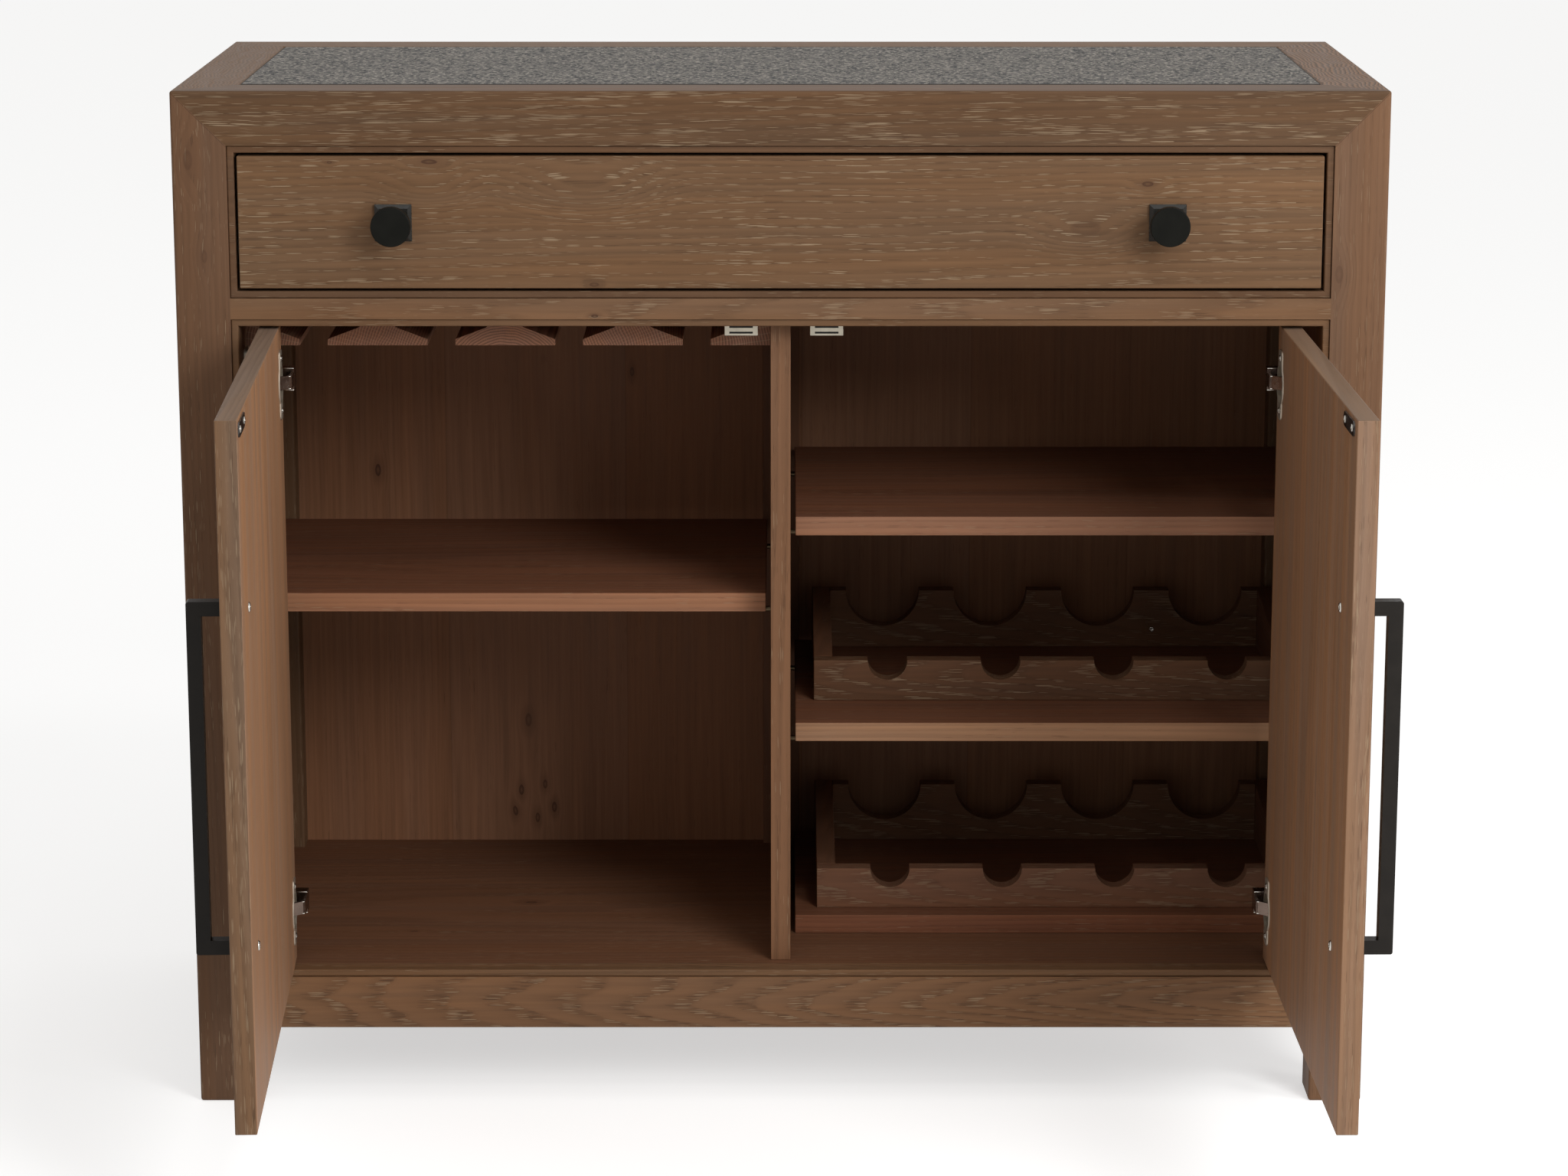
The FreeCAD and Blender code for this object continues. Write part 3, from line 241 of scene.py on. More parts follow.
def aroundKnots(tree, place, look):
    # pushes the grain aside around each knot and returns the swell and the dark core as well
    swell = None
    cores = []
    along = "XYZ".index(look["grain"])
    for x, y, z, radius, darkness in look["knots"]:
        reach = [radius * knotLook["reach"]] * 3
        reach[along] *= knotLook["stretch"]
        near = put(tree, "ShaderNodeMapping", {"Vector": place, "Location": (x, y, z),
                                               "Scale": reach}, vector_type="TEXTURE").outputs[0]
        distance = lengthOf(tree, near)
        mask = fade(tree, distance, 1.0, 0.0)
        aside = vectorCalc(tree, "SUBTRACT", place, (x, y, z))
        share = calc(tree, "MULTIPLY", mask, knotLook["push"])
        push = put(tree, "ShaderNodeVectorMath", {0: aside, "Scale": share}, operation="SCALE").outputs[0]
        place = vectorCalc(tree, "SUBTRACT", place, push)
        bulge = calc(tree, "MULTIPLY", mask, radius * knotLook["swell"])
        swell = bulge if swell is None else calc(tree, "ADD", swell, bulge)
        rim = fade(tree, distance, *knotLook["rim"], 0.0, darkness)
        middle = fade(tree, distance, *knotLook["middle"], 1.0, knotLook["middleLevel"])
        halo = fade(tree, distance, *knotLook["halo"], 0.0, darkness * knotLook["haloShare"])
        cores += [calc(tree, "MULTIPLY", rim, middle), halo]
    return place, swell, most(tree, cores)


def boardsOf(tree, place, look):
    # the number of the glued board that a point lies on, and the dark line at each joint
    spot = separate(tree, place)[look["boardAxis"]]
    number = 0.0
    seams = []
    for joint in look["joints"]:
        number = calc(tree, "ADD", number, calc(tree, "GREATER_THAN", spot, joint))
        seams.append(fade(tree, calc(tree, "ABSOLUTE", calc(tree, "SUBTRACT", spot, joint)),
                          *lineHalf["seam"]))
    return number, most(tree, seams)


def mitreLines(tree, place, facing):
    # where two pieces of the top frame meet at 45 degrees on one of its outer faces
    low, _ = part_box("front_left_post")
    _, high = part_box("rear_right_post")
    x, y, z = separate(tree, place)
    fromSide = calc(tree, "SUBTRACT", high[0], calc(tree, "ABSOLUTE", x))
    middle = (low[1] + high[1]) / 2
    fromEnd = calc(tree, "SUBTRACT", high[1] - middle,
                   calc(tree, "ABSOLUTE", calc(tree, "SUBTRACT", y, middle)))
    fromTop = calc(tree, "SUBTRACT", high[2], z)
    lines = []
    for side, pair in enumerate(((fromEnd, fromTop), (fromSide, fromTop), (fromSide, fromEnd))):
        apart = calc(tree, "ABSOLUTE", calc(tree, "SUBTRACT", *pair))
        onFace = calc(tree, "GREATER_THAN", calc(tree, "ABSOLUTE", facing[side]), sum(looksAlong) / 2)
        lines.append(calc(tree, "MULTIPLY", fade(tree, apart, *lineHalf["mitre"]), onFace))
    return most(tree, lines)


def oak(name, **changes):
    look = {**oakDefaults, **changes}
    made, tree = startMaterial(name)
    coordinates = put(tree, "ShaderNodeTexCoord").outputs
    facing = separate(tree, coordinates["Normal"])
    toFront = fade(tree, calc(tree, "MULTIPLY", facing[1], -1.0), *looksAlong)
    upright = fade(tree, calc(tree, "ABSOLUTE", facing[2]), *looksAlong)
    toSide = calc(tree, "MULTIPLY", facing[0], calc(tree, "SIGN", separate(tree, coordinates["Object"])[0]))
    outward = fade(tree, toSide, *looksAlong)
    place, swell, core = aroundKnots(tree, coordinates["Object"], look)
    grained = put(tree, "ShaderNodeMapping", {"Vector": place,
                                              "Rotation": grainTurns[look["grain"]]}).outputs[0]
    if look["capGrain"]:
        capped = put(tree, "ShaderNodeMapping", {"Vector": place,
                                                 "Rotation": grainTurns[look["capGrain"]]}).outputs[0]
        grained = blendVector(tree, upright, grained, capped)
    shifted = vectorCalc(tree, "ADD", grained, look["shift"])
    board = None
    if look["joints"]:
        board, seam = boardsOf(tree, coordinates["Object"], look)
        both = put(tree, "ShaderNodeCombineXYZ", {0: board, 1: board}).outputs[0]
        slide = vectorCalc(tree, "MULTIPLY", both, look["boardSlide"])
        shifted = vectorCalc(tree, "ADD", shifted, slide)
    drift = stretchedNoise(tree, shifted, look["waveScale"]).outputs["Color"]
    sway = vectorCalc(tree, "SUBTRACT", drift, (0.5, 0.5, 0.5))
    sway = vectorCalc(tree, "MULTIPLY", sway, (0, look["waviness"] * 2, look["waviness"] * 2))
    wavy = vectorCalc(tree, "ADD", shifted, sway)

    # growth rings
    fromPith = vectorCalc(tree, "SUBTRACT", vectorCalc(tree, "ADD", grained, sway),
                          alongGrain(look["pith"], look["grain"]))
    if board is not None:
        fromPith = vectorCalc(tree, "ADD", fromPith, slide)
    tilted = put(tree, "ShaderNodeMapping", {
        "Vector": fromPith, "Rotation": (0, look["tilt"][0], look["tilt"][1])}).outputs[0]
    radial = vectorCalc(tree, "MULTIPLY", tilted, (0, 1, 1))
    radius = lengthOf(tree, radial)
    if swell is not None:
        radius = calc(tree, "ADD", radius, swell)
    uneven = stretchedNoise(tree, radial, ringLook["driftScale"], detail=1.0).outputs["Fac"]
    rings = calc(tree, "ADD", calc(tree, "DIVIDE", radius, look["ringGap"]),
                 calc(tree, "MULTIPLY", uneven, look["ringDrift"]))
    ringShare = calc(tree, "FRACT", rings)
    early = calc(tree, "MULTIPLY", fade(tree, ringShare, *ringLook["rise"]),
                 fade(tree, ringShare, *ringLook["fall"]))

    # fibres, patches and pores: each pore is a thin lens in a stretched cell
    fibre = stretchedNoise(tree, wavy, look["fibreScale"], detail=4.0, roughness=0.62).outputs["Fac"]
    patch = stretchedNoise(tree, shifted, look["patchScale"]).outputs["Fac"]
    crowd = stretchedNoise(tree, shifted, look["crowdScale"], detail=1.0).outputs["Fac"]
    cells = put(tree, "ShaderNodeMapping", {"Vector": wavy, "Scale": look["poreScale"]}).outputs[0]
    pores = put(tree, "ShaderNodeTexVoronoi", {"Vector": cells, "Scale": 1.0}).outputs
    luck = put(tree, "ShaderNodeSeparateColor", {0: pores["Color"]}).outputs   # a cell's random draws
    reach = calc(tree, "ADD", look["poreReach"], fade(tree, early, 0.0, 1.0, -look["banded"],
                                                      look["banded"]))
    reach = calc(tree, "ADD", reach, fade(tree, crowd, *softRange, -look["crowding"], look["crowding"]))
    reach = calc(tree, "MULTIPLY", reach, fade(tree, luck[2], 0.0, 1.0, *look["poreSpread"], "LINEAR"))
    if look["capGrain"]:
        reach = calc(tree, "MULTIPLY", reach, fade(tree, upright, 0.0, 1.0, 1.0, look["capReach"]))
    if look["outerTone"]:
        reach = calc(tree, "ADD", reach, calc(tree, "MULTIPLY", outward, look["outerReach"]))
    if look["edgeReach"]:
        reach = calc(tree, "ADD", reach, calc(tree, "MULTIPLY", toFront, look["edgeReach"]))
    pore = fade(tree, calc(tree, "SUBTRACT", reach, pores["Distance"]), 0.0, look["poreEdge"])
    darkPore = calc(tree, "MULTIPLY", pore, calc(tree, "LESS_THAN", luck[0], look["darkShare"]))
    palePore = calc(tree, "SUBTRACT", pore, darkPore)
    strength = fade(tree, luck[1], 0.0, 1.0, look["faintest"], 1.0, "LINEAR")

    tone = paint(*look["tone"])
    for share, toneName in ((toFront, "edgeTone"), (upright, "capTone"), (outward, "outerTone")):
        if look[toneName]:
            tone = blendColour(tree, share, tone, paint(*look[toneName]))
    level = calc(tree, "MULTIPLY", around(tree, fibre, look["fibre"] * noiseSwing),
                 around(tree, patch, look["patch"] * noiseSwing))
    lateLevel = 1 + look["ringDepth"] * ringLook["lateShare"]
    ringLevel = fade(tree, early, 0, 1, lateLevel, 1 - look["ringDepth"], "LINEAR")
    if look["sideRings"] < 1:
        ringsHere = fade(tree, upright, 0, 1, look["sideRings"], 1, "LINEAR")
        ringLevel = blendValue(tree, ringsHere, 1.0, ringLevel)
        early = calc(tree, "MULTIPLY", early, ringsHere)
    level = calc(tree, "MULTIPLY", level, ringLevel)
    hue = stretchedNoise(tree, shifted, look["hueScale"]).outputs["Fac"]
    if board is not None:
        chance = put(tree, "ShaderNodeTexWhiteNoise", {"W": calc(tree, "ADD", board, look["shift"][0])},
                     noise_dimensions="1D").outputs["Value"]
        spread = look["boardSpread"]
        level = calc(tree, "MULTIPLY", level, fade(tree, chance, 0, 1, 1 - spread, 1 + spread, "LINEAR"))
        level = calc(tree, "MULTIPLY", level, fade(tree, seam, 0, 1, 1, look["seamLevel"], "LINEAR"))
        hue = calc(tree, "ADD", calc(tree, "MULTIPLY", hue, 1 - look["boardHue"]),
                   calc(tree, "MULTIPLY", chance, look["boardHue"]))
    red = look["hueSpread"]
    blue = red * look["hueBlue"]
    hueShift = put(tree, "ShaderNodeCombineColor", {
        0: calc(tree, "MULTIPLY", level, fade(tree, hue, *mildRange, 1 + red, 1 - red)),
        1: level,
        2: calc(tree, "MULTIPLY", level, fade(tree, hue, *mildRange, 1 - blue, 1 + blue))}).outputs[0]
    colour = blendColour(tree, 1.0, tone, hueShift, "MULTIPLY")
    if look["rays"]:
        turned = separate(tree, radial)
        angle = calc(tree, "ARCTAN2", turned[2], turned[1])
        spokes = calc(tree, "PINGPONG", calc(tree, "MULTIPLY", angle, look["rayCount"]), 1.0)
        ray = fade(tree, spokes, look["rayWidth"], 0.0, 0.0, look["rays"])
        colour = blendColour(tree, ray, colour, paint(*look["paleTone"]))
    darkShare = calc(tree, "MULTIPLY", calc(tree, "MULTIPLY", darkPore, strength), look["dark"])
    colour = blendColour(tree, darkShare, colour, paint(*look["darkTone"]))
    paleShare = calc(tree, "MULTIPLY", calc(tree, "MULTIPLY", palePore, strength), look["pale"])
    colour = blendColour(tree, paleShare, colour, paint(*look["paleTone"]))
    if core is not None:
        colour = blendColour(tree, core, colour, paint(*look["knotTone"]))
    if look["mitred"]:
        line = calc(tree, "MULTIPLY", mitreLines(tree, coordinates["Object"], facing), look["mitred"])
        colour = blendColour(tree, line, colour, paint(*look["darkTone"]))

    height = calc(tree, "MULTIPLY", fibre, reliefLook["fibre"])
    height = calc(tree, "SUBTRACT", height, calc(tree, "MULTIPLY", pore, reliefLook["pore"]))
    height = calc(tree, "SUBTRACT", height, calc(tree, "MULTIPLY", early, reliefLook["early"]))
    bump = put(tree, "ShaderNodeBump", {"Height": height, "Strength": look["relief"],
                                        "Distance": reliefLook["depth"]}).outputs[0]
    rough = fade(tree, fibre, *softRange, *look["roughness"], "LINEAR")
    finishMaterial(tree, {"Base Color": colour, "Roughness": rough, "Specular IOR Level": look["gloss"],
                          "Normal": bump})
    return made


def dress(material, *names):
    for name in names:
        piece = nodes[name]
        piece.data.materials.clear()
        piece.data.materials.append(material)


# the case frame

framePosts = {
    "front_left_post": {"shift": (0.31, 0.0, 0.02), "pith": (-0.75, 0.16, 0.4), "tone": (110, 81, 60),
                        "knots": [(-0.519, 0.0, 0.868, 0.0045, 0.35), (-0.507, 0.0, 0.783, 0.003, 0.35)]},
    "front_right_post": {"shift": (1.7, 0.05, -0.3), "pith": (0.72, 0.12, 0.4), "tone": (118, 88, 66),
                         "pale": 0.32,
                         "knots": [(0.492, 0.0, 0.767, 0.004, 0.35)]},
    "rear_left_post": {"shift": (2.9, 0.11, 0.4), "pith": (-0.75, 0.5, 0.4)},
    "rear_right_post": {"shift": (4.1, 0.17, 0.7), "pith": (0.75, 0.5, 0.4)},
}
for postName, postLook in framePosts.items():
    dress(oak(postName + "_oak", grain="Z", poreReach=0.22, ringDepth=0.05, mitred=0.45, **postLook),
          postName)

topRails = {
    "top_front_rail": {"grain": "X", "shift": (0.4, 0.0, 0.0), "poreReach": 0.33, "pale": 0.8, "fibre": 0.26,
                       "poreScale": (36.0, 1500.0, 1500.0),
                       "tone": (100, 74, 52), "capGrain": "X", "capTone": (96, 72, 53),
                       "darkShare": 0.2, "pith": (0.0, 0.16, 0.80), "tilt": (0.010, 0.014)},
    "top_rear_rail": {"grain": "X", "shift": (1.4, 0.0, 0.0), "pith": (0.0, 0.30, 0.80)},
    "top_left_rail": {"grain": "Y", "shift": (0.6, 0.0, 0.0), "waviness": 0.012, "relief": 1.0,
                      "capGrain": "Y", "sideRings": 0.1,
                      "pith": (-0.85, 0.2, 0.88), "poreReach": 0.24, "ringGap": 0.0036,
                      "ringDepth": 0.30, "waveScale": (22.0, 16.0, 16.0)},
    "top_right_rail": {"grain": "Y", "shift": (3.6, 0.0, 0.0), "waviness": 0.016, "relief": 1.0,
                       "capGrain": "Y", "capTone": (118, 88, 64), "sideRings": 0.1,
                       "pith": (0.85, 0.2, 0.88), "poreReach": 0.24,
                       "ringGap": 0.0040, "ringDepth": 0.55, "waveScale": (14.0, 12.0, 12.0)},
}
for railName, railLook in topRails.items():
    dress(oak(railName + "_oak", mitred=0.45, **railLook), railName)

dress(oak("middle_rail_oak", tone=(122, 91, 66), shift=(2.3, 0, 0), banded=0.16,
          pith=(0.0, 0.05, 0.736), tilt=(0.0, 0.04), knots=[(-0.164, 0.0, 0.730, 0.0016, 0.8)]),
      "middle_rail")
dress(oak("bottom_rail_oak", shift=(0.9, 0, 0), tone=(124, 91, 65), banded=0.32, crowding=0.06,
          ringGap=0.0048, pith=(0.0, 0.042, 0.099), tilt=(0.0, 0.09), ringDepth=0.14, darkShare=0.55,
          dark=0.6, poreReach=0.21, waviness=0.006), "bottom_rail")
# the drawer opening's bead is toned darker than the door's bead: painted shade for the shadow it lies in,
# set back under the rail
dress(oak("drawer_bead_shaded_oak", shift=(5.1, 0, 0), tone=(102, 75, 54), poreReach=0.18),
      "drawer_opening_bead")
dress(oak("door_bead_oak", shift=(5.6, 0, 0), tone=(116, 86, 61), poreReach=0.18), "door_opening_bead")
dress(oak("side_oak", grain="Z", tone=(122, 82, 60), outerTone=(110, 82, 58), poreReach=0.19,
          shift=(6.2, 0.2, 0.45), boardAxis=1, joints=(0.14, 0.25, 0.34)), "side_panels")
dress(oak("low_side_rail_oak", grain="Y", shift=(7.2, 0.2, 0), pith=(0.0, 0.2, -0.1)),
      "lower_side_rails")
dress(oak("back_low_rail_oak", shift=(8.3, 0.2, 0), pith=(0.0, 0.6, 0.0)), "back_lower_rail")
print("case frame dressed")


# the drawer

drawerFrontLook = {
    "shift": (3.3, 0.0, 0.0), "pith": (0.1, 0.12, 0.70), "tilt": (0.006, 0.012), "poreReach": 0.25,
    "tone": (115, 86, 61), "darkShare": 0.3, "banded": 0.17, "pale": 0.72, "fibre": 0.24,
    "knots": [(-0.310, 0.0, 0.846, 0.006, 0.0), (-0.170, 0.0, 0.846, 0.009, 0.0),   # grain only
              (-0.308, 0.0, 0.864, 0.0032, 0.75), (-0.395, 0.0, 0.866, 0.0012, 0.6),
              (-0.164, 0.0, 0.758, 0.0022, 0.6), (0.322, 0.0, 0.847, 0.0026, 0.7),
              (0.268, 0.0, 0.808, 0.007, 0.3)],
}
dress(oak("drawer_front_oak", **drawerFrontLook), "drawer_front")
dress(oak("drawer_side_oak", grain="Y", shift=(9.1, 0, 0), poreReach=0.15), "drawer_sides")
dress(oak("drawer_back_oak", shift=(9.9, 0, 0), poreReach=0.15), "drawer_back")
dress(oak("drawer_bottom_oak", shift=(10.7, 0, 0), poreReach=0.15), "drawer_bottom")
dress(oak("slide_block_oak", grain="Y", shift=(11.7, 0, 0)), "slide_blocks")
print("drawer dressed")


# the doors

leafLooks = {
    "left_door": {"shift": (12.4, 0.2, 0.1), "pith": (-0.60, -0.2, 0.4), "edgeTone": (118, 91, 69)},
    "right_door": {"shift": (14.7, 0.3, -0.1), "pith": (0.62, -0.2, 0.4), "edgeTone": (142, 112, 90)},
}
for leafName, leafLook in leafLooks.items():
    dress(oak(leafName + "_oak", grain="Z", capGrain="Y", tone=(154, 115, 86), capTone=(128, 104, 85),
              outerTone=(122, 91, 66), edgeReach=0.11,
              poreReach=0.20, fibre=0.18, patch=0.18, patchScale=(0.9, 34.0, 34.0), hueSpread=0.06,
              **leafLook), leafName)
print("doors dressed")


# the inside

insideTone = (116, 80, 58)
clusterKnots = [(-0.262, 0.430, 0.178, 0.0028, 0.75), (-0.238, 0.430, 0.184, 0.0024, 0.7),
                (-0.268, 0.430, 0.157, 0.0030, 0.75), (-0.246, 0.430, 0.149, 0.0026, 0.7),
                (-0.229, 0.430, 0.160, 0.0028, 0.75)]
dress(oak("back_oak", grain="Z", tone=(110, 81, 58), edgeTone=(142, 101, 74),
          shift=(16.0, -0.4, 0.2), poreReach=0.14, ringGap=0.006, ringDepth=0.02, fibre=0.26,
          patch=0.10, pale=0.12, boardSpread=0.05,
          pith=(-0.2, 0.55, 0.3), joints=(-0.332, -0.154, 0.021, 0.188, 0.345),
          knots=[(-0.400, 0.430, 0.507, 0.0032, 0.8), (-0.147, 0.430, 0.606, 0.0024, 0.7),
                 (-0.254, 0.430, 0.251, 0.0036, 0.6)] + clusterKnots), "back_panel")
dress(oak("batten_oak", grain="Z", tone=insideTone, shift=(17.0, -0.4, 0.0), poreReach=0.1),
      "back_batten")
dress(oak("divider_oak", grain="Z", tone=(128, 93, 68), shift=(18.0, 0, 0.0), darkShare=0.8,
          pith=(0.1, 0.2, 0.4)), "center_divider")
dress(oak("deck_oak", tone=insideTone, shift=(19.0, 0, -0.1), poreReach=0.16, pith=(0, 0.2, -0.1),
          knots=[(-0.240, 0.213, 0.126, 0.003, 0.8), (-0.345, 0.120, 0.126, 0.002, 0.6)]),
      "bottom_deck")
dress(oak("dust_panel_oak", tone=insideTone, shift=(20.0, 0, -0.7), poreReach=0.1),
      "drawer_dust_panel")
dress(oak("slab_support_oak", tone=insideTone, shift=(21.0, 0, -0.9), poreReach=0.1),
      "slab_support_panel")
shelfLooks = {
    "left_shelf": {"shift": (22.0, 0, -0.46), "edgeTone": (158, 112, 84)},
    "right_upper_shelf": {"shift": (23.3, 0, -0.53), "edgeTone": (158, 112, 85)},
    "right_middle_shelf": {"shift": (24.6, 0, -0.34), "edgeTone": (166, 126, 96)},
    "right_low_board": {"shift": (25.9, 0, -0.14), "edgeTone": (136, 88, 64)},
}
for shelfName, shelfLook in shelfLooks.items():
    dress(oak(shelfName + "_oak", tone=(124, 82, 60), poreReach=0.20, darkShare=0.6,
              pith=(0, 0.2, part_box(shelfName)[0][2] - 0.2), **shelfLook), shelfName)
rackLooks = {
    "upper_rack_front": {"shift": (27.0, 0, 0), "pith": (0.1, 0.195, 0.372), "pale": 0.65},
    "upper_rack_rear": {"shift": (28.0, 0, 0), "pith": (0.1, 0.480, 0.40)},
    "lower_rack_front": {"shift": (29.0, 0, 0), "pith": (0.4, 0.180, 0.175), "tone": (126, 88, 66)},
    "lower_rack_rear": {"shift": (30.0, 0, 0), "pith": (0.3, 0.470, 0.20)},
}
for rackName, rackLook in rackLooks.items():
    rackLook = {"tone": (108, 77, 56), "tilt": (0.0, 0.08), "banded": 0.24, "darkShare": 0.15, **rackLook}
    dress(oak(rackName + "_oak", **rackLook), rackName)
dress(oak("rack_side_oak", grain="Y", tone=insideTone, shift=(31.0, 0, -0.3), poreReach=0.15),
      "upper_rack_sides", "lower_rack_sides")
runnerLook = {"tone": (148, 105, 83), "shift": (32.0, 0.25, 0.0), "pith": (-0.25, 0.2, 0.66),
              "rays": 0.36, "ringDepth": 0.42, "ringGap": 0.0024, "poreReach": 0.10}
dress(oak("runner_oak", grain="Y", **runnerLook), "stemware_runners")
print("inside dressed")


# stone

stoneLook = {"ground": (96, 91, 86), "fleck": (16, 16, 16), "pale": (172, 165, 155),
             "fleckScale": (115, 100, 115), "paleScale": (290, 230, 290), "cloudScale": (6, 6, 6),
             "fleckRange": (0.55, 0.41), "paleRange": (0.50, 0.62), "paleShare": 0.9,
             "cloudShare": 0.10, "roughness": (0.55, 0.70), "gloss": 0.12, "relief": 0.3,
             "reliefDepth": 0.0008,   # this and the widths of the painted gap shadow in metres
             # edge: the colour of a dark band painted on the slab's front and ends, a painted shadow for the
             # gap round the slab
             "edge": (20, 19, 18), "frontGapShade": 0.0045, "sideGapShade": 0.0010}


def stone(name):
    made, tree = startMaterial(name)
    place = put(tree, "ShaderNodeTexCoord").outputs["Object"]
    coarse = stretchedNoise(tree, place, stoneLook["fleckScale"], detail=2.5, roughness=0.6).outputs["Fac"]
    fine = stretchedNoise(tree, place, stoneLook["paleScale"], roughness=0.6).outputs["Fac"]
    cloud = stretchedNoise(tree, place, stoneLook["cloudScale"]).outputs["Fac"]
    dark = fade(tree, coarse, *stoneLook["fleckRange"])
    pale = fade(tree, fine, *stoneLook["paleRange"], 0.0, stoneLook["paleShare"])
    colour = blendColour(tree, dark, paint(*stoneLook["ground"]), paint(*stoneLook["fleck"]))
    colour = blendColour(tree, pale, colour, paint(*stoneLook["pale"]))
    colour = blendColour(tree, fade(tree, cloud, *softRange, 0.0, stoneLook["cloudShare"]), colour,
                         paint(*stoneLook["fleck"]))
    low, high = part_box("stone_slab")
    across, deep, _ = separate(tree, place)
    # painted shadow: the slab's front strip and both ends take the dark edge colour, for the shade in the
    # gap round the slab
    front = calc(tree, "LESS_THAN", deep, low[1] + stoneLook["frontGapShade"])
    ends = calc(tree, "GREATER_THAN", calc(tree, "ABSOLUTE", across), high[0] - stoneLook["sideGapShade"])
    colour = blendColour(tree, calc(tree, "MAXIMUM", front, ends), colour, paint(*stoneLook["edge"]))
    bump = put(tree, "ShaderNodeBump", {"Height": coarse, "Strength": stoneLook["relief"],
                                        "Distance": stoneLook["reliefDepth"]}).outputs[0]
    finishMaterial(tree, {"Base Color": colour,
                          "Roughness": fade(tree, fine, *softRange, *stoneLook["roughness"]),
                          "Specular IOR Level": stoneLook["gloss"], "Normal": bump})
    return made


dress(stone("slab_stone"), "stone_slab")
print("stone dressed")


# metal

def insideBoxes(tree, place, boxes):
    # 1 inside any of the boxes, each given by its middle and its half size
    insides = []
    for middle, half in boxes:
        aside = vectorCalc(tree, "ABSOLUTE", vectorCalc(tree, "SUBTRACT", place, middle))
        past = most(tree, separate(tree, vectorCalc(tree, "SUBTRACT", aside, half)))
        insides.append(calc(tree, "LESS_THAN", past, 0.0))
    return most(tree, insides)


metalDefaults = {
    "roughness": (0.30, 0.40),
    "metallic": 1.0,
    "gloss": 0.5,
    "wear": 0.12,                  # how far the colour swings to a darker and a paler one
    "cloudScale": (60, 60, 60),
    "brush": (300, 300, 300),      # the scale of the fine lines of polishing
    "relief": 0.08,
    "reliefDepth": 0.0002,         # metres
    "hollows": (),                 # boxes painted dark as shade, where a slot's hollow lies, each by its middle and half size
    "shadeTone": (14, 12, 10),
}


def metal(name, colour, **changes):
    look = {**metalDefaults, **changes}
    made, tree = startMaterial(name)
    place = put(tree, "ShaderNodeTexCoord").outputs["Object"]
    cloud = stretchedNoise(tree, place, look["cloudScale"], detail=3.0).outputs["Fac"]
    lines = stretchedNoise(tree, place, look["brush"]).outputs["Fac"]
    base = paint(*colour)
    tinted = blendColour(tree, fade(tree, cloud, *softRange), shade(base, 1 - look["wear"]),
                         shade(base, 1 + look["wear"]))
    # painted shade: inside the boxes the colour turns dark, for the shade in the slots
    if look["hollows"]:
        tinted = blendColour(tree, insideBoxes(tree, place, look["hollows"]), tinted,
                             paint(*look["shadeTone"]))
    mixed = calc(tree, "ADD", calc(tree, "MULTIPLY", cloud, 0.5), calc(tree, "MULTIPLY", lines, 0.5))
    rough = fade(tree, mixed, *mildRange, *look["roughness"])
    bump = put(tree, "ShaderNodeBump", {"Height": lines, "Strength": look["relief"],
                                        "Distance": look["reliefDepth"]}).outputs[0]
    finishMaterial(tree, {"Base Color": tinted, "Roughness": rough, "Metallic": look["metallic"],
                          "Specular IOR Level": look["gloss"], "Normal": bump})
    return made


dress(metal("dark_bronze", (24, 24, 21), roughness=(0.36, 0.48), metallic=0.0, gloss=0.06), "knobs")
dress(metal("handle_bronze", (38, 35, 32), roughness=(0.36, 0.48), metallic=0.0, gloss=0.12),
      "left_handle", "right_handle")
dress(metal("plate_bronze", (36, 35, 32), roughness=(0.25, 0.35), metallic=0.0, gloss=0.35),
      "knob_plates")
brightNickel = metal("bright_nickel", (214, 209, 200), roughness=(0.13, 0.23))
# the arms' nickel is darkened and browned as a painted reflection of the wood that the arms face
dress(metal("arm_nickel_painted_reflection", (112, 97, 88), roughness=(0.19, 0.29)), "hinge_arms")
satinNickel = metal("satin_nickel", (192, 182, 166), roughness=(0.43, 0.53))
screwSteel = metal("screw_steel", (196, 192, 184), roughness=(0.19, 0.31))
dress(satinNickel, "left_hinge_cups", "right_hinge_cups", "hinge_plates")
dress(metal("pin_bronze", (92, 78, 60), roughness=(0.34, 0.46)), "shelf_pins")
dress(metal("strike_steel", (92, 90, 88), roughness=(0.24, 0.40)), "left_strike_plate",
      "right_strike_plate")
dress(metal("slide_zinc", (190, 190, 188), roughness=(0.27, 0.43), brush=(600, 12, 600)),
      "slide_cabinet_members", "slide_middle_members", "slide_drawer_members")
# the catches' slots are darkened in their colour: painted shade for the inside of the slots
catchLook = {"width": 0.030, "slotHalf": (0.0105, 0.0012, 0.0009), "slotBack": 0.0015,
             "slotLevels": (0.0028, 0.0080)}
catchLow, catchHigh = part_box("door_catches")
catchSlots = [((across, catchLow[1] + catchLook["slotBack"], catchLow[2] + level), catchLook["slotHalf"])
              for across in (catchLow[0] + catchLook["width"] / 2, catchHigh[0] - catchLook["width"] / 2)
              for level in catchLook["slotLevels"]]
dress(metal("catch_nickel", (176, 168, 152), roughness=(0.29, 0.41), metallic=0.7,
            hollows=catchSlots), "door_catches")
print("metal dressed")


# small pieces with more detail than their solids in the frame

weldReach = 0.00001
screwSteps = 2                     # how often the smoother divides a screw's faces


def solidsOf(name):
    # the corner points of each separate solid in a node, whose mesh comes as loose triangles
    joined = bmesh.new()
    joined.from_mesh(nodes[name].data)
    bmesh.ops.remove_doubles(joined, verts=joined.verts, dist=weldReach)
    reached = set()
    solids = []
    for first in joined.verts:
        if first in reached:
            continue
        reached.add(first)
        ahead = [first]
        solid = []
        while ahead:
            corner = ahead.pop()
            solid.append(corner.co.copy())
            for link in corner.link_edges:
                other = link.other_vert(corner)
                if other not in reached:
                    reached.add(other)
                    ahead.append(other)
        solids.append(solid)
    joined.free()
    return solids


